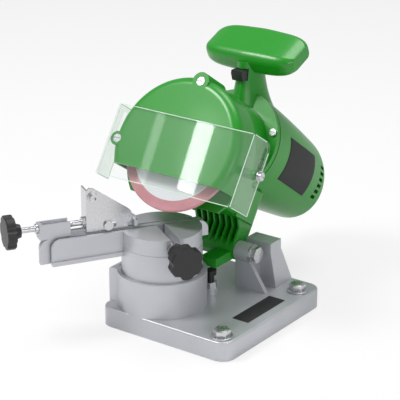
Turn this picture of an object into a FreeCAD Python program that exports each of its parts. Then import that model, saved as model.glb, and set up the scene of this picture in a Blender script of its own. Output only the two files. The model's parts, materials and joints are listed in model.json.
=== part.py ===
import FreeCAD, Part
import math
import os

# Electric chainsaw sharpener for the bench, in millimetres.
# Frame: origin at the middle of the two bench bolt holes, on the underside of the base.
# +X runs along the front edge away from the vise, +Y to the back, +Z up.

V = FreeCAD.Vector
X_AXIS = V(1, 0, 0)
Y_AXIS = V(0, 1, 0)
Z_AXIS = V(0, 0, 1)

# General clearances
run_gap = 0.3
shaft_gap = 0.05
thread_gap = 0.05

# Base casting
base_left = -119.5
base_right = 12.5
base_front = -68.0
base_back = 78.0
base_height = 17.0
base_wall = 4.0
base_corner = 12.0
base_edge_round = 1.5
base_rib = 3.0
bolt_spacing = 113.0
bolt_hole_radius = 4.5
bolt_boss_radius = 11.0

# Round socket that carries the vise, tangent to the front edge of the base
socket_x = -81.2
socket_radius = 38.3
socket_wall = 3.6
socket_height = 48.0
seat_depth = 4.0
socket_floor = 6.0
scale_pad_front = -54.0
scale_pad_back = -5.4
pivot_radius = 4.0

# Hinge lugs of the tilting head
hinge_y = 39.0
hinge_z = 49.0
hinge_bolt_radius = 4.0
spring_wire = 0.9
spring_gap = 0.5
spring_turns = 3
lug_radius = 8.5
lug_wall_front = 5.0
lug_right_start = -50.0
lug_right_width = 14.5
lug_left_start = -115.2
lug_left_width = 7.0
gusset_reach = 17.3
gusset_wall = 4.0
rear_block_front = 50.0
rear_block_back = 66.0
rear_block_foot = 75.7
rear_block_slope = 6.0
rear_block_width = 26.0
rear_block_height = 57.0
hex_radius = 7.5
hex_height = 5.3

# Depth stop screw under the toe of the head
stop_x = -60.0
stop_y = 11.0
stop_boss_radius = 7.0
stop_boss_height = 5.0
stop_screw_radius = 3.0
stop_head_height = 4.0
stop_nut_height = 5.0
small_hex_radius = 5.7

# Vise: its own frame has the rail along Y at the middle of its scale
vise_turn = 33.0
turret_radius = 34.4
turret_neck = 0.5
turret_step = 72.0
rail_top = 86.1
turret_cavity_top = 58.0
turret_wall = 4.0
pivot_boss_radius = 10.0
wall_front = -0.6
wall_thick = 3.0
chain_groove = 1.8
jaw_thick = 5.0
jaw_travel = 1.5
channel_floor = 64.0
arm_reach = 96.0
arm_tail = 42.0
arm_depth = 22.5
arm_tail_depth = 14.1
arm_corner = 8.0
arm_flange = 1.6
arm_flange_height = 3.6
jaw_reach = 104.5
fence_thick = 4.0
fence_height = 3.9
fence_end = -30.0

# Clamp screw and its knob, square to the rail
clamp_z = 76.0
clamp_radius = 3.0
clamp_knob_start = 36.8
knob_radius = 14.5
knob_thick = 10.0
knob_hub_radius = 7.2
knob_hub_length = 15.2
knob_lobes = 6
knob_notch = 5.0

# Chain stop: guide, adjusting screw, carriage and pawl
guide_end = -78.0
guide_width = 10.8
guide_plate = 2.0
guide_end_plate = 3.0
guide_top = 99.0
adjust_x = -10.8
adjust_z = 95.0
adjust_radius = 2.4
adjust_tip = -56.0
adjust_knob_start = -119.5
adjust_knob_thick = 8.0
adjust_hub_length = 5.5
adjust_hub_radius = 7.0
collar_radius = 4.2
collar_length = 2.2
carriage_sheet = 1.5
carriage_face = -6.6
carriage_left = -64.0
carriage_right = -24.0
carriage_top = 126.0
carriage_nose_z = 97.5
carriage_nose_radius = 7.5
carriage_flange_depth = 13.6
carriage_travel = 5.0
guide_screw_y = -45.0
guide_screw_z = 91.0
guide_screw_radius = 2.0
guide_lug_half = 4.0
pawl_y = -57.5
pawl_z = 117.4
pawl_hub = 4.6
pawl_thick = 2.8
pawl_tip_y = -20.0
pawl_tip_low = 88.0
pawl_tip_high = 95.5
pawl_foot = 3.0
pawl_pin_radius = 2.5

# Head: its own frame is centred on the grinding wheel, Y along the spindle, Z up the wheel
head_tilt = 33.5
tilt_travel = 8.0
wheel_center_y = -1.1
wheel_center_z = 145.6
wheel_radius = 54.0
wheel_thick = 3.2
wheel_bore = 11.6
blotter_radius = 44.8
blotter_thick = 0.4
flange_radius = 17.0
flange_thick = 3.0
spindle_radius = 5.0
spindle_nut_height = 5.0
spindle_front = -9.5

# Guard cover over the upper part of the wheel
guard_radius = 62.0
guard_wall = 2.5
guard_front = -14.0
guard_back = 12.5
guard_edge = 8.0
guard_chord = -26.0
ear_radius = 8.0
side_ear_radius = 6.2
ear_orbit = 58.5
ear_angle_top = 85.7
ear_angle_side = 185.2
ear_screw_radius = 2.0

# Clear shield that slides down in front of the guard
shield_left = -66.9
shield_right = 75.0
shield_top = 24.5
shield_height = 63.5
shield_sheet = 2.0
shield_gap = 1.0
shield_flap_back = 13.0
shield_corner = 8.0
shield_slot_y = 8.5
shield_slot_low = -4.3
shield_slot_length = 22.8
shield_slot_half = 2.25
left_slot_y = -3.0
left_flap_back = 3.8
shield_screw_radius = 2.0
shield_boss_radius = 4.2
shield_washer_radius = 4.6

# Head housing: backplate, gear neck, foot and ribbed leg
plate_thick = 3.0
neck_half_width = 36.0
neck_top_center = 28.0
neck_bottom = -34.0
neck_corner = 8.0
case_cut = -42.0
case_wall = 3.0
collar_front = 64.0
motor_offset = 30.0
motor_front_radius = 47.0
motor_middle_radius = 43.4
motor_middle = 125.0
motor_seam = 70.0
motor_end = 200.0
motor_face_middle = 186.0
motor_face_tilt = 19.9
motor_edge_round = 9.0
screw_circle = 43.0
screw_spread = 20.0
case_screw_radius = 1.9
motor_end_radius = 35.0
motor_wall = 2.8
seam_groove = 1.2
leg_left = -97.2
leg_right = -50.7
leg_front = 84.0
leg_back = 95.0
leg_rib_front = 77.0
foot_half_width = 34.0
foot_front = 60.0
foot_back = 96.0
foot_top = -5.0
foot_room_top = -21.0
eye_radius = 9.0
leg_ribs = 8
leg_rib_thick = 1.6
toe_width = 16.0
toe_front = 7.5
toe_low = 42.0
toe_thick = 8.0

# Gear pair between motor and spindle
gear_module = 1.0
spindle_teeth = 43
pinion_teeth = 17
gear_face = 10.0
gear_start = 36.0
gear_backlash = 0.25
gear_plate_start = 56.0
gear_plate_thick = 4.0
gear_addendum = -0.6
pinion_addendum = 0.4

# Ball bearings and brush motor
front_bearing_start = 13.0
rear_bearing_start = 51.0
bearing_width = 7.0
spindle_bearing_radius = 11.0
rotor_shaft_radius = 4.0
rotor_bearing_radius = 11.0
rotor_start = 35.0
rotor_end = 157.0
rotor_front_bearing = 59.5
rotor_rear_bearing = 149.0
fan_radius = 28.0
fan_start = 72.0
fan_length = 8.0
fan_blades = 9
core_start = 87.0
core_length = 34.0
core_radius = 22.0
core_slots = 12
air_gap = 0.6
stator_radius = 34.0
winding_overhang = 6.0
commutator_radius = 11.0
commutator_start = 130.0
commutator_length = 12.0
brush_width = 5.0
brush_length = 12.0
vent_count = 6
vent_width = 3.2
vent_length = 8.0
vent_back = 174.0
vent_step = 8.5
gland_radius = 7.0
gland_length = 16.0
gland_drop = 16.0
cable_bore = 3.3

# Handle: upright stem, cross grip and switch
stem_y = 100.0
stem_low = 150.0
stem_top = 202.0
stem_low_half = (19.0, 30.0)
stem_mid_half = (11.0, 17.5)
stem_shoulder = 166.0
stem_shoulder_half = (13.8, 22.0)
stem_top_half = (9.5, 15.0)
stem_mid = 182.0
grip_y = 109.7
grip_z = 207.0
grip_length = 92.0
grip_depth = 45.0
grip_thick = 23.0
grip_tilt = 23.0
grip_cap = 13.0
trigger_width = 12.0
trigger_height = 10.0
trigger_proud = 4.0
trigger_travel = 3.5
trigger_z = 191.0
switch_depth = 16.0

# Values worked out from the ones above
socket_y = base_front + socket_radius
seat_floor = socket_height - seat_depth
seat_radius = turret_radius + run_gap
turret_low = seat_floor + run_gap
web_low = seat_floor - socket_floor
wall_back = wall_front - wall_thick
jaw_front = wall_back - chain_groove
jaw_back = jaw_front - jaw_thick
channel_back = jaw_back - jaw_travel - run_gap
plate_top = base_height
spindle_gear_radius = gear_module * spindle_teeth / 2.0
tilt_cos = math.cos(math.radians(head_tilt))
tilt_sin = math.sin(math.radians(head_tilt))
hinge_head_y = (hinge_y - wheel_center_y) * tilt_cos - (hinge_z - wheel_center_z) * tilt_sin
hinge_head_z = (hinge_y - wheel_center_y) * tilt_sin + (hinge_z - wheel_center_z) * tilt_cos
leg_left_local = leg_left - socket_x
leg_right_local = leg_right - socket_x
plate_back = guard_back + plate_thick
travel_cos = math.cos(math.radians(tilt_travel))
travel_sin = math.sin(math.radians(tilt_travel))
toe_drop = toe_low - hinge_z
toe_reach = toe_front - hinge_y
stop_head_top = hinge_z + toe_reach * travel_sin + toe_drop * travel_cos - 0.1


def box(x0, x1, y0, y1, z0, z1):
    """Block between two corners."""
    return Part.makeBox(x1 - x0, y1 - y0, z1 - z0, V(x0, y0, z0))


def rod(radius, start, end):
    """Round bar between two points."""
    direction = end - start
    return Part.makeCylinder(radius, direction.Length, start, direction)


def rod_x(radius, x0, x1, y, z):
    """Round bar along X."""
    return rod(radius, V(x0, y, z), V(x1, y, z))


def rod_y(radius, y0, y1, x, z):
    """Round bar along Y."""
    return rod(radius, V(x, y0, z), V(x, y1, z))


def rod_z(radius, z0, z1, x, y):
    """Round bar along Z."""
    return rod(radius, V(x, y, z0), V(x, y, z1))


def prism(corners, travel):
    """Flat polygon pushed along a vector."""
    wire = Part.makePolygon(corners + [corners[0]])
    return Part.Face(wire).extrude(travel)


def prism_x(outline, x0, x1):
    """Outline in (y, z) pushed along X."""
    return prism([V(x0, y, z) for y, z in outline], V(x1 - x0, 0, 0))


def prism_y(outline, y0, y1):
    """Outline in (x, z) pushed along Y."""
    return prism([V(x, y0, z) for x, z in outline], V(0, y1 - y0, 0))


def prism_z(outline, z0, z1):
    """Outline in (x, y) pushed along Z."""
    return prism([V(x, y, z0) for x, y in outline], V(0, 0, z1 - z0))


def hex_z(radius, z0, z1, x, y):
    """Hexagon across its corners, along Z."""
    points = [(x + radius * math.cos(math.radians(60 * i)), y + radius * math.sin(math.radians(60 * i)))
              for i in range(6)]
    return prism_z(points, z0, z1)


def hex_x(radius, x0, x1, y, z):
    """Hexagon across its corners, along X."""
    points = [(y + radius * math.cos(math.radians(60 * i)), z + radius * math.sin(math.radians(60 * i)))
              for i in range(6)]
    return prism_x(points, x0, x1)


def hex_y(radius, y0, y1, x, z):
    """Hexagon across its corners, along Y."""
    points = [(x + radius * math.cos(math.radians(60 * i)), z + radius * math.sin(math.radians(60 * i)))
              for i in range(6)]
    return prism_y(points, y0, y1)


def turned(edges, axis_z):
    """Closed profile in (radius, y) turned about the Y axis at height axis_z."""
    shape = Part.Face(Part.Wire(edges))
    shape.translate(V(0, 0, axis_z))
    return shape.revolve(V(0, 0, axis_z), Y_AXIS, 360)


def turned_polygon(points, axis_z):
    """Straight-sided profile in (radius, y) turned about the Y axis."""
    corners = [V(r, y, 0) for r, y in points]
    loop = corners + [corners[0]]
    return turned([Part.LineSegment(a, b).toShape() for a, b in zip(loop, loop[1:])], axis_z)


def rounded_plate(x0, x1, y0, y1, corner, z0, z1):
    """Plate with four rounded upright corners."""
    plate = box(x0, x1, y0, y1, z0, z1)
    upright = [e for e in plate.Edges if abs(e.tangentAt(e.FirstParameter).z) > 0.99]
    return plate.makeFillet(corner, upright)


def join(shapes):
    """One clean solid from several that touch."""
    result = shapes[0]
    for shape in shapes[1:]:
        result = result.fuse(shape)
    return result.removeSplitter()


def carve(shape, tools):
    """Shape with every tool cut out."""
    for tool in tools:
        shape = shape.cut(tool)
    return shape


def place_vise(shape):
    """From the vise frame to the part frame."""
    placed = shape.copy()
    placed.rotate(V(0, 0, 0), Z_AXIS, -vise_turn)
    placed.translate(V(socket_x, socket_y, 0))
    return placed


def place_head(shape):
    """From the head frame to the part frame."""
    placed = shape.copy()
    placed.rotate(V(0, 0, 0), X_AXIS, -head_tilt)
    placed.translate(V(socket_x, wheel_center_y, wheel_center_z))
    return placed


def lobed_knob(radius, thick, notch, lobes):
    """Star knob lying on Z = 0, with scooped flanks and a soft rim."""
    body = rod_z(radius, 0, thick, 0, 0)
    body = body.makeChamfer(thick * 0.12, [e for e in body.Edges if len(e.Vertexes) == 1])
    scoops = []
    for i in range(lobes):
        angle = 2 * math.pi * (i + 0.5) / lobes
        reach = radius + notch * 0.55
        scoops.append(rod_z(notch, -1, thick + 1, reach * math.cos(angle), reach * math.sin(angle)))
    return carve(body, scoops)


def gear(teeth, addendum, y0, y1, axis_z, phase):
    """Spur gear with straight-flanked teeth on the Y axis."""
    pitch = gear_module * teeth / 2.0
    tip = pitch + addendum
    root = tip - 1.9 * gear_module
    step = 2 * math.pi / teeth
    half_tip = 0.18 * step
    half_root = 0.34 * step
    points = []
    for i in range(teeth):
        middle = (i + phase) * step
        for radius, shift in ((root, -half_root), (tip, -half_tip), (tip, half_tip), (root, half_root)):
            angle = middle + shift
            points.append((radius * math.cos(angle), axis_z + radius * math.sin(angle)))
    return prism_y(points, y0, y1)


def bearing(y0, width, outer, bore, axis_z):
    """Ball bearing drawn as its ring with two shallow shield grooves."""
    ring = rod_y(outer, y0, y0 + width, 0, axis_z).cut(rod_y(bore, y0 - 1, y0 + width + 1, 0, axis_z))
    middle = (outer + bore) / 2.0
    groove_half = (outer - bore) * 0.22
    depth = width * 0.08
    for start in (y0 - depth, y0 + width - depth):
        groove = rod_y(middle + groove_half, start, start + 2 * depth, 0, axis_z)
        groove = groove.cut(rod_y(middle - groove_half, start, start + 2 * depth, 0, axis_z))
        ring = ring.cut(groove)
    return ring


def lug(start, width):
    """Hinge lug of a given width along X, with a proud round eye."""
    wall = box(start, start + width, hinge_y - lug_wall_front, hinge_y + lug_radius, plate_top - 1, hinge_z)
    return wall.fuse(rod_x(lug_radius, start, start + width, hinge_y, hinge_z))


def rear_block():
    """Hollow buttress behind the right lug, sloping down to the back and the side."""
    left = lug_right_start
    right = left + rear_block_width
    low = plate_top - 1
    knee = rear_block_height - lug_radius
    side = prism_x([(rear_block_front, low), (rear_block_front, rear_block_height),
                    (rear_block_back, rear_block_height), (rear_block_back, knee), (rear_block_foot, plate_top),
                    (rear_block_foot, low)], left, right + rear_block_slope)
    front = prism_y([(left, low), (left, rear_block_height), (right, rear_block_height), (right, knee),
                     (right + rear_block_slope, plate_top), (right + rear_block_slope, low)],
                    rear_block_front, rear_block_foot)
    outer = side.common(front)
    wall = gusset_wall
    room = box(left + wall, right - wall, rear_block_front + wall, rear_block_back - wall,
               plate_top - base_wall - 1, rear_block_height - wall)
    return outer, room


def base_casting():
    """Hollow cast base with socket, scale pad, hinge lugs and bolt bosses."""
    shell = rounded_plate(base_left, base_right, base_front, base_back, base_corner, 0, base_height)
    top_edges = [e for e in shell.Edges
                 if all(abs(v.Z - base_height) < 0.001 for v in e.Vertexes)]
    shell = shell.makeFillet(base_edge_round, top_edges)
    cavity = rounded_plate(base_left + base_wall, base_right - base_wall, base_front + base_wall,
                           base_back - base_wall, base_corner - base_wall, -1, base_height - base_wall)
    shell = shell.cut(cavity)

    rib_x = (base_left + base_right) / 2.0
    ribs = [box(rib_x - base_rib / 2, rib_x + base_rib / 2, socket_y + socket_radius - 1, base_back - 1,
                2, base_height - 1),
            box(base_left + 1, base_right - 1, stop_y - base_rib / 2, stop_y + base_rib / 2,
                2, base_height - 1)]
    bosses = [rod_z(bolt_boss_radius, 0, base_height - 1, 0, side * bolt_spacing / 2).common(
        box(-base_corner, base_right, base_front, base_back, 0, base_height)) for side in (-1, 1)]

    socket = rod_z(socket_radius, 0, socket_height, socket_x, socket_y)
    pad = box(base_left, socket_x, scale_pad_front, scale_pad_back, 0, socket_height)
    pad_edge = [e for e in pad.Edges
                if all(abs(v.X - base_left) < 0.001 and abs(v.Z - socket_height) < 0.001 for v in e.Vertexes)]
    pad = pad.makeChamfer(base_edge_round, pad_edge)
    socket_room = rod_z(socket_radius - socket_wall, -1, web_low, socket_x, socket_y)

    lug_right_end = lug_right_start + lug_right_width
    lugs = [lug(lug_right_start, lug_right_width), lug(lug_left_start, lug_left_width)]
    gusset_front = hinge_y - lug_wall_front
    gusset_top = hinge_z - lug_radius + 2
    front_gusset = prism_y([(lug_right_end - 1, plate_top - 1), (lug_right_end - 1, gusset_top),
                            (lug_right_end, gusset_top), (lug_right_end + gusset_reach, plate_top),
                            (lug_right_end + gusset_reach, plate_top - 1)],
                           gusset_front, gusset_front + gusset_wall)
    block, block_room = rear_block()
    bridge = box(lug_right_start, lug_right_start + lug_right_width, hinge_y, rear_block_front + 1,
                 plate_top - 1, hinge_z - hinge_bolt_radius - 2)
    left_foot = prism_x([(hinge_y, plate_top - 1), (hinge_y, hinge_z - lug_radius),
                         (hinge_y + lug_radius, hinge_z - lug_radius), (rear_block_back, plate_top),
                         (rear_block_back, plate_top - 1)], lug_left_start, lug_left_start + gusset_wall)
    stop_boss = rod_z(stop_boss_radius, plate_top - base_wall - 6, plate_top + stop_boss_height, stop_x, stop_y)

    body = join([shell, socket, pad] + ribs + bosses)
    body = body.cut(socket_room)
    body = join([body] + lugs + [front_gusset, block, bridge, left_foot, stop_boss])
    seat = rod_z(seat_radius, seat_floor, socket_height + 1, socket_x, socket_y)
    tools = [seat, block_room]
    tools.extend(rod_z(bolt_hole_radius, -1, base_height + 1, 0, side * bolt_spacing / 2) for side in (-1, 1))
    tools.append(rod_z(pivot_radius + shaft_gap, web_low - 1, seat_floor + 1, socket_x, socket_y))
    tools.append(rod_x(hinge_bolt_radius + thread_gap, lug_left_start - 1, lug_right_end + 1, hinge_y, hinge_z))
    tools.append(rod_z(stop_screw_radius + thread_gap, 0, plate_top + stop_boss_height + 1, stop_x, stop_y))
    tools.append(box(base_left + base_wall, socket_x - socket_radius * 0.6, scale_pad_front + base_wall,
                     scale_pad_back - base_wall, -1, socket_height - base_wall).cut(
        rod_z(socket_radius, -2, socket_height, socket_x, socket_y)))
    return carve(body, tools)


def hinge_bolt():
    """Hex bolt that carries the head, from the right lug to the left nut."""
    lug_right_end = lug_right_start + lug_right_width
    shank = rod_x(hinge_bolt_radius, lug_left_start - hex_height - 4, lug_right_end, hinge_y, hinge_z)
    washer = rod_x(hex_radius + 1.0, lug_right_end, lug_right_end + 1.2, hinge_y, hinge_z)
    head = hex_x(hex_radius, lug_right_end + 1.2, lug_right_end + 1.2 + hex_height, hinge_y, hinge_z)
    return join([shank, washer, head])


def hinge_nut():
    """Self-locking nut on the hinge bolt."""
    end = lug_left_start
    nut = hex_x(hex_radius, end - hex_height, end, hinge_y, hinge_z)
    collar = rod_x(hex_radius * 0.75, end - hex_height - 2, end - hex_height + 0.5, hinge_y, hinge_z)
    bore = rod_x(hinge_bolt_radius + thread_gap, end - hex_height - 5, end + 1, hinge_y, hinge_z)
    return join([nut, collar]).cut(bore)


def return_spring():
    """Torsion spring round the hinge bolt, one unbroken wire of short arcs."""
    coil_radius = hinge_bolt_radius + 3.4
    pitch = 2 * spring_wire + spring_gap
    start_x = lug_left_start + lug_left_width + spring_wire + 0.5

    def point(quarter):
        angle = math.pi / 2 * quarter - math.pi / 2
        return V(start_x + pitch * quarter / 4.0, hinge_y + coil_radius * math.cos(angle),
                 hinge_z + coil_radius * math.sin(angle))

    arcs = [Part.Arc(point(i), point(i + 0.5), point(i + 1)).toShape() for i in range(spring_turns * 4)]
    path = Part.Wire(arcs)
    direction = arcs[0].tangentAt(arcs[0].FirstParameter)
    section = Part.Wire([Part.Circle(point(0), direction, spring_wire).toShape()])
    print("return spring: least gap between turns %.2f mm" % (pitch - 2 * spring_wire))
    return path.makePipeShell([section], True, False)


def hinge_spacer():
    """Sleeve that keeps the spring centred on the bolt."""
    outer = hinge_bolt_radius + 1.6
    start = lug_left_start + lug_left_width
    sleeve = rod_x(outer, start, leg_left - run_gap, hinge_y, hinge_z)
    return sleeve.cut(rod_x(hinge_bolt_radius + shaft_gap, start - 1, leg_left, hinge_y, hinge_z))


def depth_stop_screw():
    """Adjustable screw that the toe of the head comes down on."""
    shank = rod_z(stop_screw_radius, plate_top - base_wall - 8, stop_head_top - stop_head_height, stop_x, stop_y)
    head = hex_z(small_hex_radius, stop_head_top - stop_head_height, stop_head_top, stop_x, stop_y)
    return join([shank, head])


def depth_stop_nut():
    """Lock nut of the depth stop."""
    low = plate_top + stop_boss_height
    nut = hex_z(small_hex_radius, low, low + stop_nut_height, stop_x, stop_y)
    return nut.cut(rod_z(stop_screw_radius + thread_gap, low - 1, low + stop_nut_height + 1, stop_x, stop_y))


def arm_outline(reach, tail, depth, tail_depth):
    """Side face of a rail plate in (y, z): square below, two rounded upper corners."""
    low = rail_top - depth
    tail_low = rail_top - tail_depth
    bend = arm_corner * (1 - math.sqrt(0.5))
    left, right = -reach, tail
    edges = [
        Part.LineSegment(V(0, left, low), V(0, left, rail_top - arm_corner)).toShape(),
        Part.Arc(V(0, left, rail_top - arm_corner), V(0, left + bend, rail_top - bend),
                 V(0, left + arm_corner, rail_top)).toShape(),
        Part.LineSegment(V(0, left + arm_corner, rail_top), V(0, right - arm_corner, rail_top)).toShape(),
        Part.Arc(V(0, right - arm_corner, rail_top), V(0, right - bend, rail_top - bend),
                 V(0, right, rail_top - arm_corner)).toShape(),
        Part.LineSegment(V(0, right, rail_top - arm_corner), V(0, right, tail_low)).toShape(),
        Part.LineSegment(V(0, right, tail_low), V(0, turret_radius - 6, tail_low)).toShape(),
        Part.LineSegment(V(0, turret_radius - 6, tail_low), V(0, turret_radius - 9, low + 1.5)).toShape(),
        Part.LineSegment(V(0, turret_radius - 9, low + 1.5), V(0, left, low)).toShape(),
    ]
    return Part.Face(Part.Wire(edges))


def arm_plate(x0, x1, reach, tail, depth, tail_depth):
    """Rail plate between two X positions."""
    face = arm_outline(reach, tail, depth, tail_depth)
    face.translate(V(x0, 0, 0))
    return face.extrude(V(x1 - x0, 0, 0))


def vise_turntable():
    """Cast turntable with the fixed rail wall and its long arm."""
    lower = rod_z(turret_radius, turret_low, turret_step, 0, 0)
    upper = rod_z(turret_radius - turret_neck, turret_step - 1, rail_top, 0, 0)
    body = join([lower, upper])
    hollow = rod_z(turret_radius - turret_wall, turret_low - 1, turret_cavity_top, 0, 0)
    hollow = hollow.cut(rod_z(pivot_boss_radius, turret_low - 2, turret_cavity_top + 1, 0, 0))
    for turn in (45, 135):
        web = box(-turret_radius, turret_radius, -1.5, 1.5, turret_low - 2, turret_cavity_top + 1)
        web.rotate(V(0, 0, 0), Z_AXIS, turn)
        hollow = hollow.cut(web)
    channel = box(channel_back, wall_back, -turret_radius - 5, turret_radius + 5, channel_floor, rail_top + 1)
    slot_half = clamp_radius + 0.7
    reach = turret_radius + 1
    slot = box(wall_back - 1, reach, -slot_half, slot_half, clamp_z, rail_top + 1)
    slot = slot.fuse(rod_x(slot_half, wall_back - 1, reach, 0, clamp_z))
    flat = box(turret_radius - turret_neck - 0.8, reach, -turret_radius, turret_radius, turret_step, rail_top + 1)
    bolt_hole = rod_z(pivot_radius + thread_gap, turret_low - 1, turret_cavity_top, 0, 0)
    body = carve(body, [hollow, channel, slot, flat, bolt_hole])
    wall = arm_plate(wall_back, wall_front, arm_reach, arm_tail, arm_depth, arm_tail_depth)
    wall = wall.cut(rod_x(slot_half, wall_back - 1, wall_front + 1, 0, clamp_z))
    wall = wall.cut(box(wall_back - 1, wall_front + 1, -slot_half, slot_half, clamp_z, rail_top + 1))
    ledge_low = rail_top - arm_depth
    ledge = prism_x([(-arm_reach, ledge_low), (-turret_radius + 4, ledge_low + 1.0),
                     (-turret_radius + 4, ledge_low + 1.0 + arm_flange_height),
                     (-arm_reach, ledge_low + arm_flange_height)], wall_back, wall_front + arm_flange)
    ledge = ledge.cut(rod_z(turret_radius - 1, ledge_low - 1, rail_top, 0, 0))
    return join([body, wall, ledge])


def vise_pivot_bolt():
    """Bolt from below that holds the turntable down in its socket."""
    washer_top = web_low - run_gap
    shank = rod_z(pivot_radius, washer_top - 2, turret_cavity_top - 2, 0, 0)
    washer = rod_z(pivot_radius * 2.4, washer_top - 2, washer_top, 0, 0)
    head = hex_z(hex_radius, washer_top - 2 - hex_height, washer_top - 2, 0, 0)
    return join([shank, washer, head])


def chain_clamp_jaw():
    """Moving rail jaw with the guide channel of the chain stop at its end."""
    low = channel_floor + run_gap
    bar = arm_plate(jaw_back, jaw_front, jaw_reach, arm_tail, rail_top - low, arm_tail_depth)
    fence_front = carriage_face - carriage_sheet - run_gap
    fence_back = fence_front - fence_thick
    ledge = rail_top + run_gap
    fence = box(fence_back, fence_front, guide_end - 1, fence_end, ledge, rail_top + fence_height)
    root = box(jaw_back, fence_front, guide_end - 1, fence_end, rail_top - 1, ledge + 0.5)
    lug_top = guide_screw_z + guide_screw_radius + 0.8
    screw_lug = box(fence_back, fence_front, guide_screw_y - guide_lug_half,
                    guide_screw_y + guide_lug_half, ledge, lug_top)
    guide_back = jaw_front - guide_width
    channel = box(guide_back, jaw_front, -jaw_reach, guide_end, rail_top, guide_top)
    channel_room = box(guide_back + guide_plate, jaw_front - guide_plate, -jaw_reach + guide_end_plate,
                       guide_end + 1, rail_top + guide_plate, guide_top + 1)
    body = join([bar, channel.cut(channel_room), fence, root, screw_lug])
    clamp_thread = rod_x(clamp_radius + thread_gap, jaw_back - 1, jaw_front + 1, 0, clamp_z)
    adjust_hole = rod_y(adjust_radius + shaft_gap, -jaw_reach - 1, -jaw_reach + guide_end_plate + 1,
                        adjust_x, adjust_z)
    screw_hole = rod_x(guide_screw_radius + thread_gap, fence_back - 1, fence_front + 1,
                       guide_screw_y, guide_screw_z)
    return carve(body, [clamp_thread, adjust_hole, screw_hole])


def clamp_screw():
    """Threaded rod fixed in the jaw, running out to the clamp knob."""
    return rod_x(clamp_radius, jaw_back, clamp_knob_start + knob_hub_length, 0, clamp_z)


def clamp_washer():
    """Thrust washer between the knob and the turntable."""
    start = turret_radius + 0.1
    washer = rod_x(knob_hub_radius + 0.8, start, clamp_knob_start - 0.2, 0, clamp_z)
    return washer.cut(rod_x(clamp_radius + 0.2, start - 1, clamp_knob_start, 0, clamp_z))


def clamp_knob():
    """Star knob of the chain clamp."""
    star = lobed_knob(knob_radius, knob_thick, knob_notch, knob_lobes)
    hub = Part.makeCone(knob_hub_radius, knob_hub_radius * 1.1, knob_hub_length, V(0, 0, -knob_hub_length), Z_AXIS)
    knob = join([star, hub])
    knob.rotate(V(0, 0, 0), Y_AXIS, 90)
    knob.translate(V(clamp_knob_start + knob_hub_length, 0, clamp_z))
    bore_end = clamp_knob_start + knob_hub_length + 1
    return knob.cut(rod_x(clamp_radius + shaft_gap, clamp_knob_start - 1, bore_end, 0, clamp_z))


def stop_adjusting_screw():
    """Threaded rod of the chain stop, with a collar each side of its end plate."""
    end_plate = -jaw_reach
    inner = end_plate + guide_end_plate
    gap = 0.2
    stem = rod_y(adjust_radius, adjust_knob_start, adjust_tip, adjust_x, adjust_z)
    outer_collar = rod_y(collar_radius, end_plate - gap - collar_length, end_plate - gap, adjust_x, adjust_z)
    inner_collar = rod_y(collar_radius * 0.6, inner + gap, inner + gap + collar_length, adjust_x, adjust_z)
    return join([stem, outer_collar, inner_collar])


def stop_adjusting_knob():
    """Star knob at the end of the rail."""
    star = lobed_knob(knob_radius, adjust_knob_thick, knob_notch, knob_lobes)
    hub = Part.makeCone(adjust_hub_radius, adjust_hub_radius * 0.8, adjust_hub_length,
                        V(0, 0, adjust_knob_thick), Z_AXIS)
    knob = join([star, hub])
    knob.rotate(V(0, 0, 0), X_AXIS, -90)
    knob.translate(V(adjust_x, adjust_knob_start - adjust_knob_thick - adjust_hub_length, adjust_z))
    pocket = rod_y(adjust_radius, adjust_knob_start - adjust_hub_length, adjust_knob_start + 1, adjust_x, adjust_z)
    return knob.cut(pocket)


def stop_carriage():
    """Folded sheet carriage that carries the pawl along the rail."""
    back = carriage_face - carriage_sheet
    bottom = rail_top + run_gap
    nose_y = carriage_right - carriage_nose_radius
    outline = [(carriage_left, bottom), (carriage_left, carriage_top - 3), (carriage_left + 3, carriage_top),
               (carriage_left + 7, carriage_top - 1),
               (nose_y + carriage_nose_radius * 0.55, carriage_nose_z + carriage_nose_radius * 0.84),
               (nose_y, carriage_nose_z), (nose_y + carriage_nose_radius * 0.6, bottom)]
    plate = prism_x(outline, back, carriage_face)
    nose = rod_x(carriage_nose_radius, back, carriage_face, nose_y, carriage_nose_z)
    flange = box(carriage_face - carriage_flange_depth, carriage_face, carriage_left,
                 carriage_left + carriage_sheet, rail_top + fence_height + run_gap, carriage_top - 2)
    nut = hex_y(collar_radius * 1.15, carriage_left - 3.2, carriage_left, adjust_x, adjust_z)
    body = join([plate, nose, flange, nut])
    slot_half = guide_screw_radius + 0.3
    slot = box(back - 1, carriage_face + 1, guide_screw_y, guide_screw_y + carriage_travel,
               guide_screw_z - slot_half, guide_screw_z + slot_half)
    slot = slot.fuse(rod_x(slot_half, back - 1, carriage_face + 1, guide_screw_y, guide_screw_z))
    slot = slot.fuse(rod_x(slot_half, back - 1, carriage_face + 1, guide_screw_y + carriage_travel, guide_screw_z))
    thread = rod_y(adjust_radius + thread_gap, carriage_left - 4, carriage_left + carriage_sheet + 1,
                   adjust_x, adjust_z)
    pin_hole = rod_x(pawl_pin_radius + thread_gap, back - 1, carriage_face + 1, pawl_y, pawl_z)
    return carve(body, [slot, thread, pin_hole])


def guide_screw():
    """Shoulder screw that guides the carriage on the fence."""
    fence_front = carriage_face - carriage_sheet - run_gap
    head_start = carriage_face + run_gap
    shank = rod_x(guide_screw_radius, fence_front - fence_thick, head_start, guide_screw_y, guide_screw_z)
    head = rod_x(guide_screw_radius + 2.0, head_start, head_start + 2.0, guide_screw_y, guide_screw_z)
    return join([shank, head])


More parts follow.
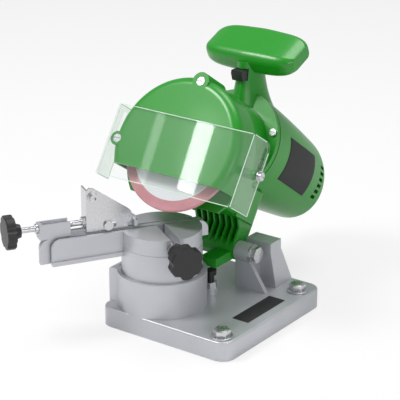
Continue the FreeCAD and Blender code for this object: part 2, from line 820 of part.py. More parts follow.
def chain_pawl():
    """Stop pawl that drops behind a cutter tooth."""
    front = carriage_face - carriage_sheet - run_gap
    back = front - pawl_thick
    slope = math.atan2(pawl_tip_high - pawl_z - pawl_hub * 0.8, pawl_tip_y - pawl_y)
    lift_y = pawl_hub * math.sin(-slope)
    lift_z = pawl_hub * math.cos(slope)
    blade = prism_x([(pawl_y + lift_y, pawl_z + lift_z), (pawl_tip_y, pawl_tip_high),
                     (pawl_tip_y, pawl_tip_low), (pawl_tip_y - pawl_foot, pawl_tip_low),
                     (pawl_tip_y - pawl_foot - 4, pawl_tip_low + 5.5),
                     (pawl_y - lift_y * 0.2, pawl_z - lift_z)], back, front)
    hub = rod_x(pawl_hub, back, front, pawl_y, pawl_z)
    foot = box(front - 0.5, jaw_front + 1.5, pawl_tip_y - pawl_foot, pawl_tip_y, pawl_tip_low, pawl_tip_high - 2)
    body = join([blade, hub, foot])
    return body.cut(rod_x(pawl_pin_radius + shaft_gap, back - 1, front + 1, pawl_y, pawl_z))


def pawl_pin():
    """Pivot screw of the pawl with its broad head and rear nut."""
    back = carriage_face - carriage_sheet - run_gap - pawl_thick - run_gap
    shank = rod_x(pawl_pin_radius, back - 4, carriage_face + 1, pawl_y, pawl_z)
    washer = rod_x(pawl_hub + 0.6, carriage_face, carriage_face + 0.8, pawl_y, pawl_z)
    head = rod_x(pawl_hub * 0.8, carriage_face + 0.8, carriage_face + 3.4, pawl_y, pawl_z)
    socket = hex_x(pawl_pin_radius * 0.7, carriage_face + 1.8, carriage_face + 4, pawl_y, pawl_z)
    nut = hex_x(pawl_hub * 0.95, back - 3.5, back, pawl_y, pawl_z)
    return join([shank, washer, head, nut]).cut(socket)


def grinding_wheel():
    """Thin grinding wheel."""
    half = wheel_thick / 2
    ring = turned_polygon([(wheel_bore, -half), (wheel_radius - 0.8, -half), (wheel_radius, -half + 0.8),
                           (wheel_radius, half - 0.8), (wheel_radius - 0.8, half), (wheel_bore, half)], 0)
    return ring


def wheel_blotter():
    """Plain paper disc on the front of the wheel."""
    front = -wheel_thick / 2 - blotter_thick
    disc = rod_y(blotter_radius, front, -wheel_thick / 2, 0, 0)
    return disc.cut(rod_y(wheel_bore, front - 1, 0, 0, 0))


def wheel_flange_rear():
    """Rear flange with the spigot that centres the wheel."""
    half = wheel_thick / 2
    front = -half - blotter_thick + 0.1
    flange = rod_y(flange_radius, half, half + flange_thick, 0, 0)
    spigot = rod_y(wheel_bore - shaft_gap, front, half + 1, 0, 0)
    hub = rod_y(spindle_radius + 2.5, half + 1, front_bearing_start - 0.5, 0, 0)
    bore = rod_y(spindle_radius, front - 1, front_bearing_start, 0, 0)
    return join([flange, spigot, hub]).cut(bore)


def wheel_flange_front():
    """Front clamping flange."""
    back = -wheel_thick / 2 - blotter_thick
    front = back - flange_thick * 0.6
    disc = turned_polygon([(spindle_radius, back), (flange_radius, back), (flange_radius, back - 1),
                           (flange_radius - 3, front), (spindle_radius, front)], 0)
    return disc


def spindle_nut():
    """Nut that clamps the wheel."""
    back = -wheel_thick / 2 - blotter_thick - flange_thick * 0.6
    nut = hex_y(spindle_radius + 4.2, back - spindle_nut_height, back, 0, 0)
    return nut.cut(rod_y(spindle_radius, back - spindle_nut_height - 1, back + 1, 0, 0))


def spindle():
    """Wheel spindle with its bearing seats and gear seat."""
    end = rear_bearing_start + bearing_width - run_gap
    shaft = rod_y(spindle_radius, spindle_front, end, 0, 0)
    shoulder = rod_y(spindle_radius + 1.5, front_bearing_start + bearing_width + run_gap, gear_start, 0, 0)
    rear_shoulder = rod_y(spindle_radius + 1.5, gear_start + gear_face, rear_bearing_start - run_gap, 0, 0)
    return join([shaft, shoulder, rear_shoulder])


def driven_gear():
    """Large gear on the wheel spindle."""
    end = gear_start + gear_face
    wheel = gear(spindle_teeth, gear_addendum, gear_start, end, 0, 0.0)
    recess = rod_y(spindle_gear_radius - 5, end - gear_face * 0.35, end + 1, 0, 0)
    recess = recess.cut(rod_y(spindle_radius + 4, gear_start, end + 2, 0, 0))
    return carve(wheel, [recess, rod_y(spindle_radius, gear_start - 1, end + 1, 0, 0)])


def rotor():
    """Armature: shaft with pinion, laminated core, winding heads and commutator."""
    shaft = rod_y(rotor_shaft_radius, rotor_start, rotor_end, 0, motor_offset)
    pinion = gear(pinion_teeth, pinion_addendum, gear_start, gear_start + gear_face, motor_offset, 0.25)
    core = rod_y(core_radius, core_start, core_start + core_length, 0, motor_offset)
    slots = []
    for i in range(core_slots):
        angle = 2 * math.pi * i / core_slots
        slots.append(rod_y(1.4, core_start - 1, core_start + core_length + 1,
                           core_radius * math.cos(angle), motor_offset + core_radius * math.sin(angle)))
    core = carve(core, slots)
    head = core_radius * 0.82
    front = V(0, core_start - winding_overhang * 0.7, motor_offset)
    winding_front = Part.makeCone(head * 0.75, head, winding_overhang * 0.7, front, Y_AXIS)
    winding_back = Part.makeCone(head, head * 0.75, winding_overhang,
                                 V(0, core_start + core_length, motor_offset), Y_AXIS)
    commutator = rod_y(commutator_radius, commutator_start, commutator_start + commutator_length, 0, motor_offset)
    return join([shaft, pinion, core, winding_front, winding_back, commutator])


def cooling_fan():
    """Fan with a hub, a back plate and straight blades."""
    hub = rod_y(rotor_shaft_radius + 4, fan_start, fan_start + fan_length, 0, motor_offset)
    plate = rod_y(fan_radius, fan_start, fan_start + 1.6, 0, motor_offset)
    blades = []
    for i in range(fan_blades):
        blade = box(rotor_shaft_radius + 3, fan_radius - 1, fan_start + 1, fan_start + fan_length,
                    motor_offset - 0.8, motor_offset + 0.8)
        blade.rotate(V(0, 0, motor_offset), Y_AXIS, 360.0 * i / fan_blades)
        blades.append(blade)
    fan = join([hub, plate] + blades)
    return fan.cut(rod_y(rotor_shaft_radius, fan_start - 1, fan_start + fan_length + 1, 0, motor_offset))


def stator():
    """Laminated field core with two poles and its coils."""
    ring = rod_y(stator_radius, core_start, core_start + core_length, 0, motor_offset)
    bore = rod_y(core_radius + air_gap, core_start - 10, core_start + core_length + 10, 0, motor_offset)
    flats = [box(-stator_radius - 1, stator_radius + 1, core_start - 1, core_start + core_length + 1,
                 motor_offset + side * stator_radius * 0.9 - (0 if side > 0 else stator_radius),
                 motor_offset + side * stator_radius * 0.9 + (stator_radius if side > 0 else 0))
             for side in (-1, 1)]
    return carve(ring, [bore] + flats)


def field_coils():
    """Coil heads at both ends of the field core."""
    coils = []
    for start in (core_start - winding_overhang, core_start + core_length):
        ring = rod_y(stator_radius - 3, start, start + winding_overhang, 0, motor_offset)
        ring = ring.cut(rod_y(core_radius + air_gap + 1, start - 1, start + winding_overhang + 1, 0, motor_offset))
        gap = box(-stator_radius, stator_radius, start - 1, start + winding_overhang + 1,
                  motor_offset - 4, motor_offset + 4)
        coils.extend(ring.cut(gap).Solids)
    return Part.makeCompound(coils)


def brush_positions():
    """Two brushes on either side of the commutator."""
    return [(side, side * (commutator_radius + run_gap)) for side in (-1, 1)]


def motor_radius_at(y):
    """Outer radius of the swelling motor housing at a place along its axis."""
    reach = motor_end - motor_seam
    middle = (motor_middle - motor_seam) / reach
    bulge = (motor_front_radius + (motor_end_radius - motor_front_radius) * middle - motor_middle_radius)
    share = (y - motor_seam) / reach
    straight = motor_front_radius + (motor_end_radius - motor_front_radius) * share
    return straight - bulge * share * (1 - share) / (middle * (1 - middle))


def motor_turned(shrink, y0, y1):
    """Round motor body shrunk by a wall, between two places along its axis."""
    half_way = (y0 + y1) / 2.0
    r0, r1, r2 = [motor_radius_at(y) - shrink for y in (y0, half_way, y1)]
    edges = [
        Part.LineSegment(V(0, y0, 0), V(r0, y0, 0)).toShape(),
        Part.Arc(V(r0, y0, 0), V(r1, half_way, 0), V(r2, y1, 0)).toShape(),
        Part.LineSegment(V(r2, y1, 0), V(0, y1, 0)).toShape(),
        Part.LineSegment(V(0, y1, 0), V(0, y0, 0)).toShape(),
    ]
    return turned(edges, motor_offset)


def rear_plane_side(offset):
    """Block in front of the slanting rear face of the motor, moved by an offset."""
    size = 4 * motor_front_radius
    block = box(-size, size, -2 * size, -offset, -size, size)
    block.rotate(V(0, 0, 0), X_AXIS, motor_face_tilt)
    block.translate(V(0, motor_face_middle, motor_offset))
    return block


def slanted_body(shrink, y0, rounding):
    """Motor body with its slanting rear face and a rounded rear edge."""
    body = motor_turned(shrink, y0, motor_end + 20).common(rear_plane_side(shrink))
    rear = [e for e in body.Edges if e.BoundBox.YMin > motor_seam + 40 and e.Length > 60]
    return body.makeFillet(rounding, rear)


def motor_solid():
    """Outside of the motor housing as a full solid."""
    return slanted_body(0, motor_seam, motor_edge_round)


def motor_room():
    """Inner room of the motor housing, open at the front."""
    return slanted_body(motor_wall, motor_seam - 1, motor_edge_round - motor_wall)


def motor_envelope(gap):
    """Motor outline grown by a gap, to cut the castings that lie against it."""
    return motor_turned(-gap, collar_front, motor_end)


def arch(half, bottom, corner, y0, y1):
    """Arched section: round top, straight flanks, rounded lower corners."""
    bend = corner * (1 - math.sqrt(0.5))
    top = neck_top_center

    def at(x, z):
        return V(x, y0, z)

    edges = [
        Part.Arc(at(-half, top), at(0, top + half), at(half, top)).toShape(),
        Part.LineSegment(at(half, top), at(half, bottom + corner)).toShape(),
        Part.Arc(at(half, bottom + corner), at(half - bend, bottom + bend), at(half - corner, bottom)).toShape(),
        Part.LineSegment(at(half - corner, bottom), at(-half + corner, bottom)).toShape(),
        Part.Arc(at(-half + corner, bottom), at(-half + bend, bottom + bend), at(-half, bottom + corner)).toShape(),
        Part.LineSegment(at(-half, bottom + corner), at(-half, top)).toShape(),
    ]
    return Part.Face(Part.Wire(edges)).extrude(V(0, y1 - y0, 0))


def ear_places():
    """Centre and radius of the two screw ears of the guard."""
    return [(ear_orbit * math.cos(math.radians(angle)), ear_orbit * math.sin(math.radians(angle)), radius)
            for angle, radius in ((ear_angle_top, ear_radius), (ear_angle_side, side_ear_radius))]


def case_screw_places():
    """Centres of the four screws that join the motor housing to the neck."""
    places = []
    for base in (0, 180):
        for side in (-1, 1):
            angle = math.radians(base + side * screw_spread)
            places.append((screw_circle * math.cos(angle), motor_offset + screw_circle * math.sin(angle)))
    return places


def brush_middle():
    """Middle of the brushes along the motor axis."""
    return commutator_start + commutator_length / 2.0


def brushes():
    """Carbon brushes."""
    middle = brush_middle()
    blocks = []
    for side, start in brush_positions():
        end = start + side * brush_length
        blocks.append(box(min(start, end), max(start, end), middle - brush_width / 2, middle + brush_width / 2,
                          motor_offset - brush_width / 2, motor_offset + brush_width / 2))
    return Part.makeCompound(blocks)


def brush_holders():
    """Guide tubes that carry the brushes."""
    middle = brush_middle()
    outer = motor_radius_at(middle) - motor_wall + 0.4
    tubes = []
    for side, start in brush_positions():
        ends = sorted((side * (commutator_radius + 2.0), side * outer))
        tube = rod_x(brush_width, ends[0], ends[1], middle, motor_offset)
        half = brush_width / 2 + 0.1
        room_ends = sorted((side * commutator_radius, side * (outer - 3)))
        room = box(room_ends[0], room_ends[1], middle - half, middle + half, motor_offset - half, motor_offset + half)
        tubes.append(tube.cut(room).common(place_room()))
    return Part.makeCompound(tubes)


def place_room():
    """Room of the motor housing with a hair of overlap left out."""
    return slanted_body(motor_wall + shaft_gap, motor_seam - 1, motor_edge_round - motor_wall)


def guard_turned(shrink, back):
    """Dished round cover with a rounded front edge, shrunk by a wall."""
    radius = guard_radius - shrink
    front = guard_front + shrink
    edge = guard_edge - shrink
    bend = edge * (1 - math.sqrt(0.5))
    edges = [
        Part.LineSegment(V(0, front, 0), V(radius - edge, front, 0)).toShape(),
        Part.Arc(V(radius - edge, front, 0), V(radius - bend, front + bend, 0), V(radius, front + edge, 0)).toShape(),
        Part.LineSegment(V(radius, front + edge, 0), V(radius, back, 0)).toShape(),
        Part.LineSegment(V(radius, back, 0), V(0, back, 0)).toShape(),
        Part.LineSegment(V(0, back, 0), V(0, front, 0)).toShape(),
    ]
    return turned(edges, 0)


def guard_cover():
    """Front cover over the upper part of the wheel, with two screw ears."""
    solid = guard_turned(0, guard_back)
    room = guard_turned(guard_wall, guard_back + 1)
    keep_out = rod_y(wheel_radius + 2.0, guard_front + guard_wall, guard_back + 1, 0, 0)
    ears = [rod_y(radius, guard_front, guard_back, x, z) for x, z, radius in ear_places()]
    for ear in ears:
        room = room.cut(ear.cut(keep_out))
    body = join([solid] + ears).cut(room)
    boss_inner = guard_radius - guard_wall + 0.5
    body = join([body,
                 rod_x(shield_boss_radius, boss_inner, shield_right - shield_sheet - run_gap,
                       shield_slot_y, shield_slot_low),
                 rod_x(shield_boss_radius, shield_left + shield_sheet + run_gap, -boss_inner,
                       left_slot_y, shield_slot_low)])
    side = guard_radius + 20
    below = box(-side, side, guard_front - 5, guard_back + 5, -side, guard_chord)
    tools = [below]
    for x, z, _ in ear_places():
        tools.append(rod_y(ear_screw_radius + thread_gap, guard_front - 1, guard_back + 1, x, z))
        tools.append(rod_y(ear_screw_radius + 2.1, guard_front - 1, guard_front + 2.2, x, z))
    tools.append(rod_x(shield_screw_radius + thread_gap, boss_inner, shield_right, shield_slot_y, shield_slot_low))
    tools.append(rod_x(shield_screw_radius + thread_gap, shield_left, -boss_inner, left_slot_y, shield_slot_low))
    return carve(body, tools)


def guard_screws():
    """Two sunk screws that hold the guard cover."""
    screws = []
    for x, z, _ in ear_places():
        shank = rod_y(ear_screw_radius, guard_front + 2, plate_back, x, z)
        head = rod_y(ear_screw_radius + 1.8, guard_front + 0.2, guard_front + 2.2, x, z)
        slot = box(x - 3.2, x + 3.2, guard_front, guard_front + 1.0, z - 0.5, z + 0.5)
        screws.append(join([shank, head]).cut(slot))
    return Part.makeCompound(screws)


def shield():
    """Clear folded shield with a slot in each side flap."""
    back = guard_front - shield_gap
    front = back - shield_sheet
    low = shield_top - shield_height
    outer = box(shield_left, shield_right, front, shield_flap_back, low, shield_top)
    folds = [e for e in outer.Edges if abs(e.tangentAt(e.FirstParameter).z) > 0.99
             and all(abs(v.Y - front) < 0.001 for v in e.Vertexes)]
    outer = outer.makeFillet(shield_sheet * 1.5, folds)
    corners = [e for e in outer.Edges if abs(e.tangentAt(e.FirstParameter).x) > 0.99
               and all(abs(v.Y - shield_flap_back) < 0.001 and abs(v.Z - shield_top) < 0.001 for v in e.Vertexes)]
    outer = outer.makeFillet(shield_corner, corners)
    room = box(shield_left + shield_sheet, shield_right - shield_sheet, back, shield_flap_back + 1,
               low - 1, shield_top + 1)
    trim = box(shield_left - 1, shield_left + shield_sheet + 1, left_flap_back, shield_flap_back + 1,
               low - 1, shield_top + 1)
    tools = [room, trim]
    slot_top = shield_slot_low + shield_slot_length
    for x0, x1, y in ((shield_right - 5, shield_right + 1, shield_slot_y),
                      (shield_left - 1, shield_left + 5, left_slot_y)):
        slot = box(x0, x1, y - shield_slot_half, y + shield_slot_half, shield_slot_low, slot_top)
        for z in (shield_slot_low, slot_top):
            slot = slot.fuse(rod_x(shield_slot_half, x0, x1, y, z))
        tools.append(slot)
    return carve(outer, tools)


def shield_screws():
    """Two screws with washers that guide the shield flaps on their bosses."""
    inner = guard_radius - guard_wall + 1.2
    screws = []
    for edge, start, side, y in ((shield_right, inner, 1, shield_slot_y), (shield_left, -inner, -1, left_slot_y)):
        seat = edge + side * run_gap
        face = seat + side * 0.8
        tip = face + side * 2.4
        shank = rod_x(shield_screw_radius, min(start, seat), max(start, seat), y, shield_slot_low)
        washer = rod_x(shield_washer_radius, min(seat, face), max(seat, face), y, shield_slot_low)
        head = rod_x(shield_screw_radius + 1.6, min(face, tip), max(face, tip), y, shield_slot_low)
        slot_ends = sorted((tip - side * 1.0, tip + side))
        slot = box(slot_ends[0], slot_ends[1], y - 5, y + 5, shield_slot_low - 0.5, shield_slot_low + 0.5)
        screws.append(join([shank, washer, head]).cut(slot))
    return Part.makeCompound(screws)


def bearing_carrier(y0, width, web_start, web_thick):
    """Web with a ring that holds the rear rotor bearing."""
    web = motor_turned(motor_wall - 0.5, web_start, web_start + web_thick)
    ring = rod_y(rotor_bearing_radius + 3, y0, y0 + width, 0, motor_offset)
    body = join([web, ring])
    tools = [rod_y(rotor_bearing_radius, y0 - 1, y0 + width + 0.01, 0, motor_offset),
             rod_y(rotor_shaft_radius + 1, y0 - 20, y0 + width + 20, 0, motor_offset)]
    for i in range(6):
        angle = math.radians(60 * i + 30)
        reach = rotor_bearing_radius + 14
        tools.append(rod_y(5.0, web_start - 1, web_start + web_thick + 1,
                           reach * math.cos(angle), motor_offset + reach * math.sin(angle)))
    return carve(body, tools)


def stem_loft(shrink):
    """Upright stem as a smooth loft through ovals."""
    rings = []
    for z, half in ((stem_low, stem_low_half), (stem_shoulder, stem_shoulder_half),
                    (stem_mid, stem_mid_half), (stem_top, stem_top_half)):
        oval = Part.Ellipse(V(0, 0, 0), half[1] - shrink, half[0] - shrink).toShape()
        ring = Part.Wire([oval])
        ring.rotate(V(0, 0, 0), Z_AXIS, 90)
        ring.translate(V(socket_x, stem_y, z))
        rings.append(ring)
    return Part.makeLoft(rings, True, False)


def switch_pocket(gap):
    """Space of the switch in the front of the stem."""
    half = trigger_width / 2 + gap
    front = stem_y - stem_mid_half[1] - 8
    return box(socket_x - half, socket_x + half, front, stem_y - stem_mid_half[1] + switch_depth,
               trigger_z - trigger_height / 2 - gap, trigger_z + trigger_height / 2 + gap)


def handle_stem():
    """Stem that stands on the neck and the motor housing, with the switch pocket."""
    saddle = place_head(join([motor_turned(0, motor_seam, motor_end),
                              arch(neck_half_width, neck_bottom, neck_corner, plate_back, collar_front),
                              rod_y(motor_front_radius, collar_front, motor_seam, 0, motor_offset)]))
    stem = stem_loft(0).cut(saddle)
    stem = max(stem.Solids, key=lambda s: s.BoundBox.ZMax)
    return stem.cut(switch_pocket(0.2))


def motor_housing():
    """Motor cup with its slanting rear face, cooling slots and field supports."""
    outside = motor_solid()
    room = motor_room()
    shell = outside.cut(room)
    carrier = bearing_carrier(rotor_rear_bearing, bearing_width, rotor_rear_bearing + 2, 3.0)
    supports = []
    for angle in (45, 135, 225, 315):
        rib = box(stator_radius, motor_front_radius, core_start, core_start + core_length,
                  motor_offset - 2, motor_offset + 2)
        rib.rotate(V(0, 0, motor_offset), Y_AXIS, angle)
        supports.append(rib.common(outside))
    bosses = [rod_y(case_screw_radius + 2.6, motor_seam, motor_seam + 12, x, z).common(outside)
              for x, z in case_screw_places()]
    shell = join([shell, carrier] + supports + bosses)
    tools = []
    for side in (-1, 1):
        for i in range(vent_count):
            angle = side * ((vent_count / 2.0 - 0.5 - i) * vent_step) + (0 if side > 0 else 180)
            vent = box(stator_radius - 6, motor_front_radius, vent_back - vent_length, vent_back,
                       motor_offset - vent_width / 2, motor_offset + vent_width / 2)
            vent.rotate(V(0, 0, motor_offset), Y_AXIS, -angle)
            tools.append(vent)
    tools.extend(rod_y(case_screw_radius + thread_gap, motor_seam - 1, motor_seam + 10, x, z)
                 for x, z in case_screw_places())
    tools.append(gland_bar(gland_radius - 2.0, -10, 10))
    tools.append(rod_y(stator_radius, core_start - 1, core_start + core_length + 1, 0, motor_offset))
    return carve(shell, tools)


def gland_bar(radius, start, end):
    """Bar square to the slanting rear face, low on the motor."""
    bar = rod_y(radius, start, end, 0, -gland_drop)
    bar.rotate(V(0, 0, 0), X_AXIS, motor_face_tilt)
    bar.translate(V(0, motor_face_middle, motor_offset))
    return bar


def case_screws():
    """Four screws through the collar of the neck into the motor housing."""
    screws = []
    for x, z in case_screw_places():
        shank = rod_y(case_screw_radius, collar_front, motor_seam + 9, x, z)
        head = rod_y(case_screw_radius + 1.3, collar_front - 2.2, collar_front, x, z)
        slot = box(x - 3.5, x + 3.5, collar_front - 3, collar_front - 1.4, z - 0.5, z + 0.5)
        screws.append(join([shank, head]).cut(slot))
    return Part.makeCompound(screws)


def cable_gland():
    """Rubber sleeve where the lead leaves the housing."""
    inside = gland_bar(gland_radius - 2.1, -motor_wall - 1, 1)
    cone = Part.makeCone(gland_radius, gland_radius * 0.7, gland_length, V(0, 0, -gland_drop), Y_AXIS)
    cone.rotate(V(0, 0, 0), X_AXIS, motor_face_tilt)
    cone.translate(V(0, motor_face_middle, motor_offset))
    body = join([inside, cone])
    return body.cut(gland_bar(cable_bore, -10, gland_length + 1))


def gear_plate():
    """Plate behind the gears that carries the inner bearings."""
    end = gear_plate_start + gear_plate_thick
    plate = arch(neck_half_width - case_wall, neck_bottom + case_wall, neck_corner - case_wall,
                 gear_plate_start, end)
    spindle_ring = rod_y(spindle_bearing_radius + 2.5, rear_bearing_start, end, 0, 0)
    rotor_ring = rod_y(rotor_bearing_radius + 2.5, gear_plate_start, rotor_front_bearing + bearing_width,
                       0, motor_offset)
    body = join([plate, spindle_ring, rotor_ring])
    tools = [rod_y(spindle_bearing_radius, rear_bearing_start - 1, rear_bearing_start + bearing_width, 0, 0),
             rod_y(spindle_radius - 1, 0, end + 1, 0, 0),
             rod_y(rotor_bearing_radius, rotor_front_bearing, rotor_front_bearing + bearing_width + 1,
                   0, motor_offset),
             rod_y(rotor_shaft_radius + 1, 0, rotor_front_bearing + 1, 0, motor_offset)]
    return carve(body, tools)


def leg():
    """Ribbed leg with the hinge eye."""
    low = hinge_head_z
    top = neck_bottom + 1
    web = prism_x([(leg_front, top), (leg_front, low), (leg_back, low), (leg_back + 1, top)],
                  leg_left_local, leg_right_local)
    eye = rod_x(eye_radius, leg_left_local, leg_right_local, hinge_head_y, hinge_head_z)
    pitch = (leg_right_local - leg_left_local - leg_rib_thick) / (leg_ribs - 1)
    ribs = []
    for i in range(leg_ribs):
        x0 = leg_left_local + i * pitch
        ribs.append(prism_x([(leg_rib_front - 8, top), (leg_rib_front, top - 8), (leg_rib_front, low),
                             (leg_front + 1, low), (leg_front + 1, top)], x0, x0 + leg_rib_thick))
    return [web, eye] + ribs


def head_housing():
    """Head casting: round backplate, gear neck, foot under the motor and ribbed leg."""
    disc = rod_y(guard_radius, guard_back, plate_back, 0, 0)
    disc = disc.cut(box(-100, 100, guard_back - 1, plate_back + 1, -200, case_cut))
    neck = arch(neck_half_width, neck_bottom, neck_corner, guard_back, collar_front + 1)
    collar = rod_y(motor_front_radius, collar_front, motor_seam - seam_groove, 0, motor_offset)
    foot = box(-foot_half_width, foot_half_width, foot_front, foot_back, neck_bottom, foot_top)
    corners = [e for e in foot.Edges if all(abs(v.Y - foot_back) < 0.001 for v in e.Vertexes)
               and (abs(e.tangentAt(e.FirstParameter).z) > 0.99)]
    foot = foot.makeFillet(neck_corner, corners)
    foot = foot.cut(motor_envelope(0.3))
    foot_room = box(-foot_half_width + case_wall, foot_half_width - case_wall, motor_seam + case_wall,
                    foot_back - case_wall, neck_bottom - 1, foot_room_top)
    ears = [rod_y(radius, guard_back, plate_back, x, z) for x, z, radius in ear_places()]
    spindle_ring = rod_y(spindle_bearing_radius + 3, guard_back, front_bearing_start + bearing_width, 0, 0)
    room = arch(neck_half_width - case_wall, neck_bottom + case_wall, neck_corner - case_wall,
                plate_back, motor_seam + 1)
    shell = join([disc, neck, collar] + ears)
    shell = shell.cut(room)
    shell = join([shell, foot.cut(room).cut(foot_room), spindle_ring])
    body = join([shell] + leg())
    tools = [rod_y(spindle_bearing_radius, front_bearing_start, front_bearing_start + bearing_width + 1, 0, 0),
             rod_y(spindle_radius + 3, 0, front_bearing_start + 1, 0, 0),
             rod_x(hinge_bolt_radius + shaft_gap, leg_left_local - 1, leg_right_local + 1,
                   hinge_head_y, hinge_head_z)]
    tools.extend(rod_y(ear_screw_radius + thread_gap, guard_back - 1, plate_back + 1, x, z)
                 for x, z, _ in ear_places())
    tools.extend(rod_y(case_screw_radius + thread_gap, collar_front - 1, motor_seam + 1, x, z)
                 for x, z in case_screw_places())
    tools.extend(rod_y(case_screw_radius + 1.5, collar_front - 3, collar_front, x, z)
                 for x, z in case_screw_places())
    body = place_head(carve(body, tools))
    toe = box(stop_x - toe_width / 2, stop_x + toe_width / 2, toe_front, hinge_y, toe_low, toe_low + toe_thick)
    toe = toe.cut(rod_x(hinge_bolt_radius + 1, -200, 200, hinge_y, hinge_z))
    return join([body, toe])


def grip_section(x, depth, thick):
    """Rounded section of the cross grip at a place along X, tilted forwards."""
    half_depth = depth / 2
    half_thick = thick / 2
    corner = min(half_depth, half_thick) * 0.75
    inset = corner * (1 - math.sqrt(0.5))
    edges = []
    for sy, sz in ((1, 1), (-1, 1), (-1, -1), (1, -1)):
        first = V(x, sy * half_depth, sz * (half_thick - corner))
        second = V(x, sy * (half_depth - corner), sz * half_thick)
        middle = V(x, sy * (half_depth - inset), sz * (half_thick - inset))
        if sy * sz < 0:
            first, second = second, first
        edges.append((first, middle, second))
    shapes = []
    for i in range(4):
        first, middle, second = edges[i]
        shapes.append(Part.Arc(first, middle, second).toShape())
        shapes.append(Part.LineSegment(second, edges[(i + 1) % 4][0]).toShape())
    wire = Part.Wire(shapes)
    wire.rotate(V(0, 0, 0), X_AXIS, grip_tilt)
    return wire


def grip_solid():
    """Whole cross grip before it is split into body and caps."""
    sections = []
    for share, width, height in ((-0.5, 0.56, 0.5), (-0.46, 0.74, 0.68), (-0.3, 0.94, 0.92), (0.0, 1.0, 1.0),
                                 (0.3, 0.94, 0.92), (0.46, 0.74, 0.68), (0.5, 0.56, 0.5)):
        sections.append(grip_section(share * grip_length, grip_depth * width, grip_thick * height))
    solid = Part.makeLoft(sections, True, False)
    solid.translate(V(socket_x, grip_y, grip_z))
    return solid


def grip_part(x0, x1):
    """Slice of the grip between two distances from its middle."""
    slab = box(socket_x + x0, socket_x + x1, grip_y - 90, grip_y + 90, grip_z - 60, grip_z + 60)
    return grip_solid().common(slab)


def handle_grip():
    """Middle of the cross grip, seated over the stem."""
    reach = grip_length / 2 - grip_cap
    body = grip_part(-reach, reach)
    return body.cut(stem_loft(0)).Solids[0]


def end_cap(side):
    """End cap of the grip."""
    reach = grip_length / 2 - grip_cap
    if side > 0:
        return grip_part(reach + 0.05, grip_length)
    return grip_part(-grip_length, -reach - 0.05)


def trigger_button():
    """Switch button in the front of the stem."""
    half = trigger_width / 2 - run_gap
    front = stem_y - stem_mid_half[1] - trigger_proud
    back = front + trigger_proud + 6
    low = trigger_z - trigger_height / 2 + run_gap
    high = trigger_z + trigger_height / 2 - run_gap
    outline = [(front + 1.5, low), (back, low), (back, high), (front, high), (front - 0.5, high - 3)]
    return prism_x(outline, socket_x - half, socket_x + half)


def switch_body():
    """Switch block behind the button."""
    half = trigger_width / 2
    back = stem_y - stem_mid_half[1] - 8 + 8 + switch_depth
    front = stem_y - stem_mid_half[1] + 6 + trigger_travel + 0.5
    return box(socket_x - half, socket_x + half, front, back - 0.2,
               trigger_z - trigger_height / 2, trigger_z + trigger_height / 2)


ROOT_PIECES = {
    "base_casting": base_casting,
    "hinge_bolt": hinge_bolt,
    "hinge_nut": hinge_nut,
    "hinge_spacer": hinge_spacer,
    "return_spring": return_spring,
    "depth_stop_screw": depth_stop_screw,
    "depth_stop_nut": depth_stop_nut,
    "head_housing": head_housing,
    "handle_stem": handle_stem,
    "handle_grip": handle_grip,
    "trigger_button": trigger_button,
    "switch_body": switch_body,
}

VISE_PIECES = {
    "vise_turntable": vise_turntable,
    "vise_pivot_bolt": vise_pivot_bolt,
    "chain_clamp_jaw": chain_clamp_jaw,
    "clamp_screw": clamp_screw,
    "clamp_washer": clamp_washer,
    "clamp_knob": clamp_knob,
    "stop_adjusting_screw": stop_adjusting_screw,
    "stop_adjusting_knob": stop_adjusting_knob,
    "stop_carriage": stop_carriage,
    "guide_screw": guide_screw,
    "chain_pawl": chain_pawl,
    "pawl_pin": pawl_pin,
}

HEAD_PIECES = {
    "grinding_wheel": grinding_wheel,
    "wheel_blotter": wheel_blotter,
    "wheel_flange_rear": wheel_flange_rear,
    "wheel_flange_front": wheel_flange_front,
    "spindle_nut": spindle_nut,
    "spindle": spindle,
    "driven_gear": driven_gear,
    "rotor": rotor,
    "cooling_fan": cooling_fan,
    "stator": stator,
    "field_coils": field_coils,
    "brushes": brushes,
    "brush_holders": brush_holders,
    "gear_plate": gear_plate,
    "case_screws": case_screws,
    "cable_gland": cable_gland,
    "guard_cover": guard_cover,
    "guard_screws": guard_screws,
    "shield": shield,
    "shield_screws": shield_screws,
    "motor_housing": motor_housing,
}


def bearings():
    """The four ball bearings, named by where they sit."""
    return {
        "spindle_bearing_front": bearing(front_bearing_start, bearing_width, spindle_bearing_radius,
                                         spindle_radius + shaft_gap, 0),
        "spindle_bearing_rear": bearing(rear_bearing_start, bearing_width, spindle_bearing_radius,
                                        spindle_radius + shaft_gap, 0),
        "rotor_bearing_front": bearing(rotor_front_bearing, bearing_width, rotor_bearing_radius,
                                       rotor_shaft_radius + shaft_gap, motor_offset),
        "rotor_bearing_rear": bearing(rotor_rear_bearing, bearing_width, rotor_bearing_radius,
                                      rotor_shaft_radius + shaft_gap, motor_offset),
    }


def main():
    """Build every piece and write one file for each."""
    os.makedirs("parts", exist_ok=True)
    pieces = {name: make() for name, make in ROOT_PIECES.items()}
    pieces["grip_cap_left"] = end_cap(-1)
    pieces["grip_cap_right"] = end_cap(1)
    for name, make in VISE_PIECES.items():
        pieces[name] = place_vise(make())
    for name, make in HEAD_PIECES.items():
        pieces[name] = place_head(make())
    for name, shape in bearings().items():
        pieces[name] = place_head(shape)
    for name, shape in pieces.items():
        if not shape.isValid():
            print("not valid:", name)
        print("%-24s solids %d volume %.0f" % (name, len(shape.Solids), shape.Volume))
        shape.exportStep("parts/%s.step" % name)


main()
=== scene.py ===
import json
import logging
import math
from dataclasses import dataclass
from enum import Enum
from typing import Callable, Sequence

import bmesh
import bpy
from mathutils import Matrix, Vector

